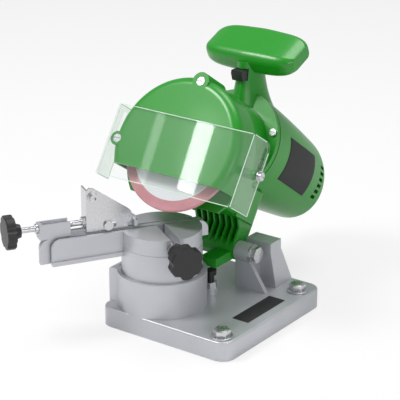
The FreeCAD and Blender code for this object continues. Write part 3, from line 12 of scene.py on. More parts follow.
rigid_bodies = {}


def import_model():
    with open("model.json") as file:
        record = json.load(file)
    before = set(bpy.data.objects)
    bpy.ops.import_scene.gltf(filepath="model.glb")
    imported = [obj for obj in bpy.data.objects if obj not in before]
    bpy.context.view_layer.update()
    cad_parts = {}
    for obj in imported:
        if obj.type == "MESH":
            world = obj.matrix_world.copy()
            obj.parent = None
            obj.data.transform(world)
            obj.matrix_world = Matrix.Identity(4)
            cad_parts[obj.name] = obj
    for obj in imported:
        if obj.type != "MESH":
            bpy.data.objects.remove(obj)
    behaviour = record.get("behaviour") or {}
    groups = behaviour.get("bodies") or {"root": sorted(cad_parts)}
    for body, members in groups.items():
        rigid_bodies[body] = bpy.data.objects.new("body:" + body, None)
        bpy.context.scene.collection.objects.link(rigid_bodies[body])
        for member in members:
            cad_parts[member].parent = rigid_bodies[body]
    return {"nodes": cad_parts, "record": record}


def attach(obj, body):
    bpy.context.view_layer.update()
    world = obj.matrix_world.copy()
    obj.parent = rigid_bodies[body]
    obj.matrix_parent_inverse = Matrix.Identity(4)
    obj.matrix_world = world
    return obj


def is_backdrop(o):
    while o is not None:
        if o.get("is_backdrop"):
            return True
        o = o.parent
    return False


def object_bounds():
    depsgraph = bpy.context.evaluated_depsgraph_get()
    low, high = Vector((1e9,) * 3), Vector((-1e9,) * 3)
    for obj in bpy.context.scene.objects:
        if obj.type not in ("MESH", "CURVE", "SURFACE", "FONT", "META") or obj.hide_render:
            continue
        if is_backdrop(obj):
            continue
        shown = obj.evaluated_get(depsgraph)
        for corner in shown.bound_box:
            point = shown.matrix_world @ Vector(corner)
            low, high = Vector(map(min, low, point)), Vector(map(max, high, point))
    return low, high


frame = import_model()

LOG = logging.getLogger("sharpener")
MM = 0.001
RGB = tuple[float, float, float]
Point = tuple[float, float, float]


class Side(Enum):
    """Which side of the head's middle plane a piece sits on."""

    LEFT = -1
    RIGHT = 1


@dataclass(frozen=True)
class Finish:
    """Look of one material, with its grain sizes in millimetres."""

    name: str
    base: RGB
    second: RGB
    roughness: float
    rough_swing: float = 0.06
    metallic: float = 0.0
    coat: float = 0.0
    grain_mm: float = 1.0
    patch_mm: float = 25.0
    patch_amount: float = 0.35
    bump_mm: float = 0.02
    speckle: float = 0.0


class Maths:
    """Wraps a shader socket so that sums can be written with operators."""

    def __init__(self, maker: "NodeMaker", socket: bpy.types.NodeSocket) -> None:
        self.maker = maker
        self.socket = socket

    def _apply(self, operation: str, other: "Maths | float") -> "Maths":
        value = other.socket if isinstance(other, Maths) else other
        node = self.maker.node("ShaderNodeMath", {0: self.socket, 1: value}, operation=operation)
        return Maths(self.maker, node.outputs[0])

    def __add__(self, other: "Maths | float") -> "Maths":
        return self._apply("ADD", other)

    def __sub__(self, other: "Maths | float") -> "Maths":
        return self._apply("SUBTRACT", other)

    def __mul__(self, other: "Maths | float") -> "Maths":
        return self._apply("MULTIPLY", other)

    __radd__ = __add__
    __rmul__ = __mul__

    def __rsub__(self, other: float) -> "Maths":
        return (self * -1.0) + other

    def power(self, exponent: float) -> "Maths":
        """Raise to a power.

        Args:
            exponent: the exponent.

        Returns:
            The wrapped result.
        """
        return self._apply("POWER", exponent)

    def clamped(self) -> "Maths":
        """Limit to the range from 0 to 1.

        Returns:
            The wrapped result.
        """
        node = self.maker.node("ShaderNodeClamp", {0: self.socket})
        return Maths(self.maker, node.outputs[0])


class NodeMaker:
    """Makes and links the nodes of one material."""

    def __init__(self, name: str) -> None:
        self.material = bpy.data.materials.new(name)
        self.material.use_nodes = True
        self.tree = self.material.node_tree
        self.tree.nodes.clear()
        self.output = self.tree.nodes.new("ShaderNodeOutputMaterial")

    def node(self, kind: str, inputs: dict | None = None, **settings: object) -> bpy.types.Node:
        """Make one node, set its properties and feed its inputs.

        Args:
            kind: the node's type name.
            inputs: values or sockets by input name or number.
            settings: properties of the node itself.

        Returns:
            The new node.
        """
        made = self.tree.nodes.new(kind)
        for key, value in settings.items():
            setattr(made, key, value)
        for key, value in (inputs or {}).items():
            if isinstance(value, Maths):
                value = value.socket
            if isinstance(value, bpy.types.NodeSocket):
                self.tree.links.new(value, made.inputs[key])
            else:
                made.inputs[key].default_value = value
        return made

    def place(self) -> bpy.types.NodeSocket:
        """Object coordinates.

        Returns:
            The vector socket.
        """
        return self.node("ShaderNodeTexCoord").outputs["Object"]

    def noise(self, size_mm: float, detail: float = 3.0, rough: float = 0.55) -> Maths:
        """Noise with features of about one size.

        Args:
            size_mm: feature size in millimetres.
            detail: number of finer layers.
            rough: strength of the finer layers.

        Returns:
            The noise value from 0 to 1.
        """
        node = self.node("ShaderNodeTexNoise", {
            "Vector": self.place(), "Scale": 1.0 / (size_mm * MM), "Detail": detail, "Roughness": rough})
        return Maths(self, node.outputs["Fac"])

    def mix(self, factor: Maths, first: Sequence[float], second: Sequence[float]) -> bpy.types.NodeSocket:
        """Blend two colours.

        Args:
            factor: how much of the second colour.
            first: colour at 0.
            second: colour at 1.

        Returns:
            The colour socket.
        """
        node = self.node("ShaderNodeMix", {0: factor}, data_type="RGBA")
        node.inputs[6].default_value = (*first[:3], 1.0)
        node.inputs[7].default_value = (*second[:3], 1.0)
        return node.outputs[2]

    def bump(self, height: Maths, distance_mm: float, strength: float = 1.0) -> bpy.types.NodeSocket:
        """Surface relief.

        Args:
            height: the height pattern.
            distance_mm: its depth in millimetres.
            strength: overall strength.

        Returns:
            The normal socket.
        """
        node = self.node("ShaderNodeBump", {
            "Height": height, "Distance": distance_mm * MM, "Strength": strength})
        return node.outputs["Normal"]

    def blend(self, factor: Maths | bpy.types.NodeSocket, first: bpy.types.Node,
              second: bpy.types.Node) -> bpy.types.Node:
        """Blend two surfaces.

        Args:
            factor: how much of the second surface.
            first: node of the surface at 0.
            second: node of the surface at 1.

        Returns:
            The Mix Shader node.
        """
        both = self.node("ShaderNodeMixShader", {0: factor})
        self.tree.links.new(first.outputs[0], both.inputs[1])
        self.tree.links.new(second.outputs[0], both.inputs[2])
        return both

    def finish(self, surface: bpy.types.NodeSocket) -> bpy.types.Material:
        """Link the surface and hand the material over.

        Args:
            surface: the final shader socket.

        Returns:
            The material.
        """
        self.tree.links.new(surface, self.output.inputs["Surface"])
        return self.material


class FinishLibrary:
    """Builds the procedural materials once and hands them out by name."""

    def __init__(self) -> None:
        self.made: dict[str, bpy.types.Material] = {}

    def get(self, finish: Finish) -> bpy.types.Material:
        """Material of a finish.

        Args:
            finish: the look wanted.

        Returns:
            The material, made on first use.
        """
        if finish.name not in self.made:
            self.made[finish.name] = self._solid(finish)
        return self.made[finish.name]

    def _solid(self, finish: Finish) -> bpy.types.Material:
        maker = NodeMaker(finish.name)
        grain = maker.noise(finish.grain_mm, 4.0, 0.6)
        patch = maker.noise(finish.patch_mm, 2.0, 0.5)
        middle = 0.5
        broad = (patch - middle) * (2.2 * finish.patch_amount)
        factor = (broad + (grain - middle) * finish.patch_amount + 0.4).clamped()
        if finish.speckle > 0:
            dots = maker.node("ShaderNodeTexVoronoi", {
                "Vector": maker.place(), "Scale": 1.0 / (finish.grain_mm * MM)})
            cells = Maths(maker, dots.outputs["Distance"])
            factor = (factor + (cells - 0.45) * finish.speckle).clamped()
            grain = grain + cells * 0.6
        colour = maker.mix(factor, finish.base, finish.second)
        rough = (patch - middle) * (2 * finish.rough_swing)
        rough = rough + (grain - middle) * finish.rough_swing + finish.roughness
        shader = maker.node("ShaderNodeBsdfPrincipled", {
            "Base Color": colour, "Roughness": rough.clamped(), "Metallic": finish.metallic,
            "Coat Weight": finish.coat, "Coat Roughness": 0.12,
            "Normal": maker.bump(grain, finish.bump_mm)})
        return maker.finish(shader.outputs[0])

    def clear_sheet(self) -> bpy.types.Material:
        """Clear acrylic with a faint haze and light edges.

        Returns:
            The material.
        """
        if "clear_sheet" in self.made:
            return self.made["clear_sheet"]
        maker = NodeMaker("clear_sheet")
        haze = maker.noise(18.0, 3.0)
        fine = maker.noise(1.5, 2.0)
        see = maker.node("ShaderNodeBsdfTransparent", {"Color": (0.985, 0.995, 0.988, 1.0)})
        gloss = maker.node("ShaderNodeBsdfPrincipled", {
            "Base Color": (0.95, 0.98, 0.96, 1.0), "Metallic": 1.0,
            "Roughness": (fine * 0.01 + 0.01).clamped()})
        body = maker.node("ShaderNodeBsdfPrincipled", {
            "Base Color": maker.mix(haze, (0.80, 0.92, 0.86), (0.92, 0.97, 0.95)), "Roughness": 0.35})
        weight = maker.node("ShaderNodeLayerWeight", {"Blend": 0.2})
        sheen = maker.node("ShaderNodeClamp", {"Value": weight.outputs["Fresnel"], "Max": 0.16}).outputs[0]
        slant = Maths(maker, weight.outputs["Facing"]).power(3.0)
        clear = maker.blend(sheen, see, gloss)
        both = maker.blend((slant * 0.22 + haze * 0.03 + 0.012).clamped(), clear, body)
        self.made["clear_sheet"] = maker.finish(both.outputs[0])
        return self.made["clear_sheet"]


CAST = Finish("cast_aluminium", (0.50, 0.51, 0.54), (0.64, 0.65, 0.68),
              0.40, 0.08, metallic=0.55, grain_mm=0.7,
              patch_mm=30.0, bump_mm=0.05)
GREEN = Finish("green_plastic", (0.008, 0.26, 0.009), (0.012, 0.30, 0.012),
               0.36, 0.04, coat=0.25, grain_mm=0.5,
               patch_mm=40.0, bump_mm=0.008)
GREEN_CAP = Finish("green_cap", (0.010, 0.265, 0.011), (0.014, 0.31, 0.014),
                   0.32, 0.04, coat=0.3, grain_mm=0.5, patch_mm=30.0, bump_mm=0.008)
BLACK = Finish("black_plastic", (0.012, 0.012, 0.013), (0.022, 0.022, 0.024),
               0.42, 0.06, grain_mm=0.5, bump_mm=0.02)
DARK = Finish("dark_plastic", (0.03, 0.03, 0.034), (0.05, 0.05, 0.055),
              0.5, 0.06, grain_mm=0.6, bump_mm=0.02)
ZINC = Finish("zinc_steel", (0.58, 0.58, 0.60), (0.70, 0.70, 0.70),
              0.27, 0.08, metallic=0.95, grain_mm=0.4,
              patch_mm=6.0, bump_mm=0.002)
STEEL = Finish("machined_steel", (0.50, 0.51, 0.53), (0.62, 0.62, 0.64),
               0.30, 0.08, metallic=1.0, grain_mm=0.3,
               patch_mm=8.0, bump_mm=0.01)
SPRING = Finish("spring_steel", (0.16, 0.16, 0.17), (0.26, 0.26, 0.27),
                0.34, 0.06, metallic=1.0, grain_mm=0.4,
                bump_mm=0.01)
BLACKENED = Finish("black_steel", (0.03, 0.03, 0.032), (0.06, 0.06, 0.062),
                   0.38, 0.06, metallic=0.6, grain_mm=0.4,
                   bump_mm=0.01)
CORE = Finish("core_steel", (0.30, 0.30, 0.31), (0.40, 0.40, 0.41),
              0.42, 0.08, metallic=0.9, grain_mm=0.5,
              bump_mm=0.03)
COPPER = Finish("copper_winding", (0.42, 0.14, 0.05), (0.56, 0.22, 0.08),
                0.32, 0.08, metallic=0.9, grain_mm=0.8,
                bump_mm=0.12)
BRASS = Finish("brass_holder", (0.52, 0.36, 0.12), (0.62, 0.46, 0.18),
               0.32, 0.06, metallic=1.0, grain_mm=0.5)
CARBON = Finish("carbon", (0.03, 0.03, 0.032), (0.05, 0.05, 0.052),
                0.7, 0.08, grain_mm=0.3)
GRIT = Finish("pink_grit", (0.58, 0.24, 0.27), (0.76, 0.42, 0.45),
              0.88, 0.06, grain_mm=0.55, patch_mm=14.0,
              bump_mm=0.22, speckle=0.7)
PAPER = Finish("white_paper", (0.78, 0.79, 0.82), (0.86, 0.87, 0.89),
               0.55, 0.06, grain_mm=0.6, patch_mm=22.0,
               bump_mm=0.02)
RUBBER = Finish("rubber_black", (0.014, 0.014, 0.014), (0.03, 0.03, 0.03),
                0.62, 0.08, grain_mm=0.7, bump_mm=0.03)
PLATE = Finish("black_plate", (0.004, 0.004, 0.005), (0.010, 0.010, 0.011),
               0.55, 0.05, grain_mm=0.4)
MARK = Finish("scale_mark", (0.02, 0.02, 0.022), (0.05, 0.05, 0.052),
              0.5, 0.05, grain_mm=0.3)
EDGE = Finish("sheet_edge", (0.70, 0.86, 0.74), (0.88, 0.96, 0.90),
              0.25, 0.05, grain_mm=0.6, bump_mm=0.01)

NODE_FINISHES = (CAST, GREEN, GREEN_CAP, BLACK, DARK, ZINC, STEEL, SPRING, BLACKENED, CORE, COPPER,
                 BRASS, CARBON, GRIT, PAPER, RUBBER)
SLOT_FINISH = {finish.name: finish for finish in NODE_FINISHES}


class HeadFrame:
    """Turns places given round the grinding wheel into the part's frame."""

    tilt = math.radians(33.5)
    centre = Vector((-81.2, -1.1, 145.6))

    @classmethod
    def matrix(cls) -> Matrix:
        """Placement of the head.

        Returns:
            A matrix in millimetres.
        """
        return Matrix.Translation(cls.centre) @ Matrix.Rotation(-cls.tilt, 4, "X")


class ViseFrame:
    """Turns places given along the rail into the part's frame."""

    turn = math.radians(33.0)
    centre = Vector((-81.2, -29.7, 0.0))

    @classmethod
    def matrix(cls) -> Matrix:
        """Placement of the vise.

        Returns:
            A matrix in millimetres.
        """
        return Matrix.Translation(cls.centre) @ Matrix.Rotation(-cls.turn, 4, "Z")


class Shape:
    """Collects simple solids in millimetres and turns them into one object."""

    bevel_above_deg = 40.0

    def __init__(self, place: Matrix | None = None) -> None:
        self.mesh = bmesh.new()
        self.place = place or Matrix.Identity(4)

    def _add(self, made: dict, matrix: Matrix) -> None:
        bmesh.ops.transform(self.mesh, matrix=self.place @ matrix, verts=made["verts"])

    def cylinder(self, radius: float, start: Point, end: Point, sides: int = 40,
                 top: float | None = None) -> "Shape":
        """Add a round or many-sided bar.

        Args:
            radius: radius at the start.
            start: centre of the first end.
            end: centre of the second end.
            sides: number of sides.
            top: radius at the end, if it tapers.

        Returns:
            This shape.
        """
        a, b = Vector(start), Vector(end)
        made = bmesh.ops.create_cone(self.mesh, cap_ends=True, segments=sides, radius1=radius,
                                     radius2=radius if top is None else top, depth=(b - a).length)
        turn = (b - a).to_track_quat("Z", "Y").to_matrix().to_4x4()
        self._add(made, Matrix.Translation((a + b) / 2) @ turn)
        return self

    def block(self, low: Point, high: Point) -> "Shape":
        """Add a block between two corners.

        Args:
            low: lowest corner.
            high: highest corner.

        Returns:
            This shape.
        """
        size = Vector(high) - Vector(low)
        made = bmesh.ops.create_cube(self.mesh, size=1.0)
        centre = (Vector(low) + Vector(high)) / 2
        self._add(made, Matrix.Translation(centre) @ Matrix.Diagonal((*size, 1.0)))
        return self

    def sheet(self, outer: Sequence[Sequence[Point]], thick: Callable[[Point], Vector]) -> "Shape":
        """Add a curved plate from a grid of points.

        Args:
            outer: rows of points on the outer face.
            thick: offset from the outer to the inner face at a point.

        Returns:
            This shape.
        """
        rows, cols = len(outer), len(outer[0])
        faces = [[self.mesh.verts.new(self.place @ Vector(p)) for p in row] for row in outer]
        backs = [[self.mesh.verts.new(self.place @ (Vector(p) + thick(p))) for p in row] for row in outer]
        for i in range(rows - 1):
            for j in range(cols - 1):
                self.mesh.faces.new((faces[i][j], faces[i][j + 1], faces[i + 1][j + 1], faces[i + 1][j]))
                self.mesh.faces.new((backs[i][j], backs[i + 1][j], backs[i + 1][j + 1], backs[i][j + 1]))
        rim = [(i, 0) for i in range(rows)] + [(rows - 1, j) for j in range(1, cols)]
        rim += [(i, cols - 1) for i in range(rows - 2, -1, -1)] + [(0, j) for j in range(cols - 2, 0, -1)]
        for (i, j), (k, m) in zip(rim, rim[1:] + rim[:1]):
            self.mesh.faces.new((faces[i][j], faces[k][m], backs[k][m], backs[i][j]))
        return self

    def build(self, name: str, material: bpy.types.Material, bevel_mm: float = 0.25,
              smooth: float = 35.0) -> bpy.types.Object:
        """Make the object, with small rounded edges.

        Args:
            name: object name.
            material: its material.
            bevel_mm: edge rounding in millimetres, 0 for none.
            smooth: angle in degrees under which shading is smooth.

        Returns:
            The new object, standing at the origin.
        """
        bmesh.ops.recalc_face_normals(self.mesh, faces=self.mesh.faces)
        bmesh.ops.scale(self.mesh, vec=(MM, MM, MM), verts=self.mesh.verts)
        if bevel_mm > 0:
            least = math.radians(self.bevel_above_deg)
            sharp = [e for e in self.mesh.edges if len(e.link_faces) == 2 and e.calc_face_angle(0) > least]
            bmesh.ops.bevel(self.mesh, geom=sharp, offset=bevel_mm * MM, segments=2, profile=0.5,
                            affect="EDGES", clamp_overlap=True)
        data = bpy.data.meshes.new(name)
        self.mesh.to_mesh(data)
        self.mesh.free()
        obj = bpy.data.objects.new(name, data)
        bpy.context.scene.collection.objects.link(obj)
        data.materials.append(material)
        data.shade_smooth()
        data.set_sharp_from_angle(angle=math.radians(smooth))
        return obj


@dataclass(frozen=True)
class RepeatSpec:
    """How often and how a small piece repeats."""

    count: int
    step: Point = (0.0, 0.0, 0.0)
    arm: Point = (0.0, 0.0, 0.0)
    start_deg: float = 0.0
    turn_deg: float = 0.0
    jitter: float = 0.0
    seed: int = 3


class Repeater:
    """Geometry Nodes group that repeats a small piece along a line or round Z."""

    def __init__(self) -> None:
        self.group = bpy.data.node_groups.new("Repeat", "GeometryNodeTree")
        face = self.group.interface
        self.ids: dict[str, str] = {}
        face.new_socket("Geometry", in_out="INPUT", socket_type="NodeSocketGeometry")
        for name, kind, value in (("Count", "NodeSocketInt", 5),
                                  ("Step", "NodeSocketVector", (0, 0, 0)),
                                  ("Arm", "NodeSocketVector", (0, 0, 0)),
                                  ("Start Angle", "NodeSocketFloat", 0.0),
                                  ("Turn Angle", "NodeSocketFloat", 0.0),
                                  ("Jitter", "NodeSocketFloat", 0.0),
                                  ("Seed", "NodeSocketInt", 3),
                                  ("Material", "NodeSocketMaterial", None)):
            socket = face.new_socket(name, in_out="INPUT", socket_type=kind)
            if value is not None:
                socket.default_value = value
            self.ids[name] = socket.identifier
        face.new_socket("Geometry", in_out="OUTPUT", socket_type="NodeSocketGeometry")
        self._wire()

    def _wire(self) -> None:
        nodes, links = self.group.nodes, self.group.links
        given = nodes.new("NodeGroupInput")
        out = nodes.new("NodeGroupOutput")
        line = nodes.new("GeometryNodeMeshLine")
        links.new(given.outputs["Count"], line.inputs["Count"])
        links.new(given.outputs["Step"], line.inputs["Offset"])
        index = nodes.new("GeometryNodeInputIndex")
        angle = nodes.new("ShaderNodeMath")
        angle.operation = "MULTIPLY_ADD"
        links.new(index.outputs[0], angle.inputs[0])
        links.new(given.outputs["Turn Angle"], angle.inputs[1])
        links.new(given.outputs["Start Angle"], angle.inputs[2])
        turn = nodes.new("ShaderNodeVectorRotate")
        turn.rotation_type = "Z_AXIS"
        links.new(given.outputs["Arm"], turn.inputs["Vector"])
        links.new(angle.outputs[0], turn.inputs["Angle"])
        shift = nodes.new("GeometryNodeSetPosition")
        links.new(line.outputs[0], shift.inputs["Geometry"])
        links.new(turn.outputs[0], shift.inputs["Offset"])
        spin = nodes.new("ShaderNodeCombineXYZ")
        links.new(angle.outputs[0], spin.inputs["Z"])
        random = nodes.new("FunctionNodeRandomValue")
        random.data_type = "FLOAT"
        links.new(given.outputs["Seed"], random.inputs["Seed"])
        low = nodes.new("ShaderNodeMath")
        low.operation = "SUBTRACT"
        low.inputs[0].default_value = 1.0
        links.new(given.outputs["Jitter"], low.inputs[1])
        links.new(low.outputs[0], random.inputs[2])
        random.inputs[3].default_value = 1.0
        copies = nodes.new("GeometryNodeInstanceOnPoints")
        links.new(shift.outputs[0], copies.inputs["Points"])
        links.new(given.outputs["Geometry"], copies.inputs["Instance"])
        links.new(spin.outputs[0], copies.inputs["Rotation"])
        links.new(random.outputs[1], copies.inputs["Scale"])
        real = nodes.new("GeometryNodeRealizeInstances")
        links.new(copies.outputs[0], real.inputs[0])
        paint = nodes.new("GeometryNodeSetMaterial")
        links.new(real.outputs[0], paint.inputs["Geometry"])
        links.new(given.outputs["Material"], paint.inputs["Material"])
        links.new(paint.outputs[0], out.inputs[0])

    def repeat(self, unit: bpy.types.Object, name: str, spec: RepeatSpec, place: Matrix) -> bpy.types.Object:
        """Repeat a piece and bring the result to its place.

        Args:
            unit: the single piece, modelled at the origin.
            name: name of the result.
            spec: count, steps and turns, in millimetres and degrees.
            place: matrix in millimetres that moves the result into the part's frame.

        Returns:
            One plain mesh object at the origin.
        """
        modifier = unit.modifiers.new("Repeat", "NODES")
        modifier.node_group = self.group
        values = {"Count": spec.count, "Step": [c * MM for c in spec.step], "Arm": [c * MM for c in spec.arm],
                  "Start Angle": math.radians(spec.start_deg), "Turn Angle": math.radians(spec.turn_deg),
                  "Jitter": spec.jitter, "Seed": spec.seed, "Material": unit.data.materials[0]}
        for key, value in values.items():
            modifier[self.ids[key]] = value
        graph = bpy.context.evaluated_depsgraph_get()
        data = bpy.data.meshes.new_from_object(unit.evaluated_get(graph))
        move = place.copy()
        move.translation = place.translation * MM
        data.transform(move)
        made = bpy.data.objects.new(name, data)
        bpy.context.scene.collection.objects.link(made)
        bpy.data.objects.remove(unit, do_unlink=True)
        return made


@dataclass(frozen=True)
class Workshop:
    """What every sub-assembly needs: materials, the repeater and the frame."""

    finishes: FinishLibrary
    repeater: Repeater
    nodes: dict

    def ride(self, obj: bpy.types.Object, body: str) -> bpy.types.Object:
        """Let a piece move with a body.

        Args:
            obj: the piece.
            body: name of the body.

        Returns:
            The piece.
        """
        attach(obj, body)
        LOG.info("%s rides on %s", obj.name, body)
        return obj


class NodePainter:
    """Gives every CAD node its procedural material."""

    def __init__(self, shop: Workshop, record: dict) -> None:
        self.shop = shop
        self.slots = {entry["node"]: entry["material_slot"] for entry in record["subparts"]}

    def paint(self) -> None:
        """Paint all nodes."""
        for name, obj in self.shop.nodes.items():
            slot = self.slots[name]
            material = self.shop.finishes.clear_sheet() if slot == "clear_sheet" else \
                self.shop.finishes.get(SLOT_FINISH[slot])
            obj.data.materials.clear()
            obj.data.materials.append(material)


@dataclass(frozen=True)
class BoltSizes:
    """Bench bolt, in millimetres."""

    spacing: float = 113.0
    shank: float = 4.0
    hex_radius: float = 7.4
    hex_height: float = 5.2
    washer: float = 9.2
    washer_height: float = 1.6
    seat: float = 17.0
    face_share: float = 0.82
    shank_end: float = 0.4
    edge: float = 0.45


class BenchBolts:
    """The two hex bolts that hold the base down on a bench."""

    def __init__(self, shop: Workshop, sizes: BoltSizes) -> None:
        self.shop = shop
        self.sizes = sizes

    def build(self) -> None:
        """Make both bolts with their washers."""
        s = self.sizes
        for index, side in enumerate((-1, 1)):
            y = side * s.spacing / 2
            shape = Shape()
            top = s.seat + s.washer_height
            head_top = top + s.hex_height
            shape.cylinder(s.washer, (0, y, s.seat + 0.05), (0, y, top), 48)
            shape.cylinder(s.hex_radius, (0, y, top), (0, y, head_top), 6)
            shape.cylinder(s.hex_radius * s.face_share, (0, y, head_top - 0.05), (0, y, head_top + 0.4), 40)
            shape.cylinder(s.shank, (0, y, s.shank_end), (0, y, top), 32)
            obj = shape.build("bench_bolt_%d" % index, self.shop.finishes.get(ZINC), s.edge)
            self.shop.ride(obj, "base")


@dataclass(frozen=True)
class ScaleSizes:
    """Angle scale beside the turntable, in millimetres and degrees."""

    inner: float = 35.2
    length: float = 2.4
    top: float = 48.0
    tick_width: float = 0.5
    tick_height: float = 0.12
    step_deg: float = 5.0
    first_deg: float = 150.0
    count: int = 13
    pointer_low: Point = (34.35, -0.4, 50.0)
    pointer_high: Point = (34.52, 0.4, 62.0)


class AngleScale:
    """Bare angle marks on the base and the pointer line on the turntable."""

    def __init__(self, shop: Workshop, sizes: ScaleSizes) -> None:
        self.shop = shop
        self.sizes = sizes

    def build(self) -> None:
        """Make the ticks and the pointer."""
        s = self.sizes
        mark = self.shop.finishes.get(MARK)
        half = s.tick_width / 2
        tick = Shape().block((0, -half, 0), (s.length, half, s.tick_height)).build("tick", mark, 0)
        place = Matrix.Translation((ViseFrame.centre.x, ViseFrame.centre.y, s.top))
        spec = RepeatSpec(count=s.count, arm=(s.inner, 0, 0), start_deg=s.first_deg, turn_deg=s.step_deg)
        ticks = self.shop.repeater.repeat(tick, "scale_ticks", spec, place)
        self.shop.ride(ticks, "base")
        angle = s.first_deg + s.step_deg * (s.count - 1) / 2 + math.degrees(ViseFrame.turn)
        turned = ViseFrame.matrix() @ Matrix.Rotation(math.radians(angle), 4, "Z")
        line = Shape(turned).block(s.pointer_low, s.pointer_high)
        self.shop.ride(line.build("scale_pointer", mark, 0), "vise")


@dataclass(frozen=True)
class ThreadSizes:
    """Visible thread turns on a screw, in millimetres."""

    radius: float
    pitch: float
    start: float
    end: float
    crest: float = 0.22
    sink: float = 0.02
    flank_share: float = 0.42


class Threads:
    """Thread crests on the bare stretches of the screws."""

    adjuster_axis = (-10.8, 0.0, 95.0)
    clamp_axis = (0.0, 0.0, 76.0)
    stop_axis = (-60.0, 11.0, 0.0)

    def __init__(self, shop: Workshop) -> None:
        self.shop = shop

    def _turns(self, name: str, sizes: ThreadSizes, place: Matrix, body: str, finish: Finish) -> None:
        shape = Shape()
        half = sizes.pitch * sizes.flank_share
        root = sizes.radius - sizes.sink
        crest = sizes.radius + sizes.crest
        shape.cylinder(root, (0, 0, -half), (0, 0, 0), 32, crest)
        shape.cylinder(crest, (0, 0, 0), (0, 0, half), 32, root)
        unit = shape.build("turn", self.shop.finishes.get(finish), 0)
        count = int((sizes.end - sizes.start) / sizes.pitch)
        start = place @ Matrix.Translation((0, 0, sizes.start + half))
        spec = RepeatSpec(count=count, step=(0, 0, sizes.pitch))
        made = self.shop.repeater.repeat(unit, name, spec, start)
        self.shop.ride(made, body)

    def build(self) -> None:
        """Make the thread turns of the adjusting, clamp and depth stop screws."""
        rail = ViseFrame.matrix()
        along = rail @ Matrix.Translation(self.adjuster_axis) @ Matrix.Rotation(-math.pi / 2, 4, "X")
        self._turns("adjuster_thread", ThreadSizes(2.4, 0.9, -98.5, -75.0), along, "adjuster", ZINC)
        across = rail @ Matrix.Translation(self.clamp_axis) @ Matrix.Rotation(math.pi / 2, 4, "Y")
        self._turns("clamp_thread", ThreadSizes(3.0, 1.25, 5.0, 30.0), across, "jaw", STEEL)
        up = Matrix.Translation(self.stop_axis)
        self._turns("stop_thread", ThreadSizes(3.0, 1.0, 27.4, 33.0), up, "base", BLACKENED)


@dataclass(frozen=True)
class PlateSizes:
    """Bare name plates, in millimetres."""

    base_low: Point = (-13.4, -22.6, 17.0)
    base_high: Point = (2.7, 33.0, 17.35)
    motor_low_z: float = 11.0
    motor_high_z: float = 50.0
    motor_front: float = 92.0
    motor_back: float = 150.0
    lift: float = 0.25
    thick: float = 0.6
    axis_z: float = 30.0
    rows: int = 16
    columns: int = 20


class BarePlates:
    """Black plates without any print: one on the base and one on each motor flank."""

    def __init__(self, shop: Workshop, sizes: PlateSizes) -> None:
        self.shop = shop
        self.sizes = sizes

    @staticmethod
    def motor_radius(y: float) -> float:
        """Outer radius of the motor housing.

        Args:
            y: place along the motor axis.

        Returns:
            The radius in millimetres.
        """
        front, radius, slope, curve = 70.0, 47.0, 0.0458, 0.000358
        run = y - front
        return radius - slope * run - curve * run * run

    def _flank(self, side: Side) -> None:
        s = self.sizes
        rows = []
        for i in range(s.rows + 1):
            z = s.motor_low_z + (s.motor_high_z - s.motor_low_z) * i / s.rows
            row = []
            for j in range(s.columns + 1):
                y = s.motor_front + (s.motor_back - s.motor_front) * j / s.columns
                radius = self.motor_radius(y) + s.lift
                x = side.value * math.sqrt(radius * radius - (z - s.axis_z) ** 2)
                row.append((x, y, z))
            rows.append(row)

        def inward(point: Point) -> Vector:
            out = Vector((point[0], 0.0, point[2] - s.axis_z)).normalized()
            return out * -s.thick

        shape = Shape(HeadFrame.matrix()).sheet(rows, inward)
        obj = shape.build("motor_plate_%s" % side.name.lower(), self.shop.finishes.get(PLATE), 0.15)
        self.shop.ride(obj, "head")

    def build(self) -> None:
        """Make the plates."""
        base = Shape().block(self.sizes.base_low, self.sizes.base_high)
        self.shop.ride(base.build("base_plate", self.shop.finishes.get(PLATE), 0.12), "base")
        for side in Side:
            self._flank(side)


@dataclass(frozen=True)
class ShieldSizes:
    """Edges of the clear shield, in millimetres in the head's frame."""

    left: float = -66.9
    right: float = 75.0
    low: float = -39.0
    top: float = 24.5
    front: float = -17.0
    back: float = 13.0
    left_back: float = 3.8
    bead: float = 0.35


class ShieldEdges:
    """Light cut edges of the clear shield."""

    def __init__(self, shop: Workshop, sizes: ShieldSizes) -> None:
        self.shop = shop
        self.sizes = sizes

    def build(self) -> None:
        """Make the beads along the cut edges and the two folds."""
        s = self.sizes
        shape = Shape(HeadFrame.matrix())
        x0, x1, y = s.left + 1, s.right - 1, s.front + 1
        low, top = s.low + 0.2, s.top - 0.2
        left_end, right_end = s.left_back - 0.3, s.back - 0.3
        runs = [((x0 + 2, y, low), (x1 - 2, y, low)),
                ((x0 + 2, y, top), (x1 - 2, y, top)),
                ((x1, y + 2, low), (x1, s.back - 0.4, low)),
                ((x1, y + 2, top), (x1, s.back - 8, top)),
                ((x0, y + 2, low), (x0, s.left_back, low)),
                ((x0, y + 2, top), (x0, s.left_back, top)),
                ((x1, right_end, s.low + 0.4), (x1, right_end, s.top - 8)),
                ((x0, left_end, s.low + 0.4), (x0, left_end, s.top - 0.4)),
                ((x1 - 1, y + 1, s.low + 0.5), (x1 - 1, y + 1, s.top - 0.5)),
                ((x0 + 1, y + 1, s.low + 0.5), (x0 + 1, y + 1, s.top - 0.5))]
        for start, end in runs:
            shape.cylinder(s.bead, start, end, 10)
        obj = shape.build("shield_edges", self.shop.finishes.get(EDGE), 0)
        self.shop.ride(obj, "shield_body")


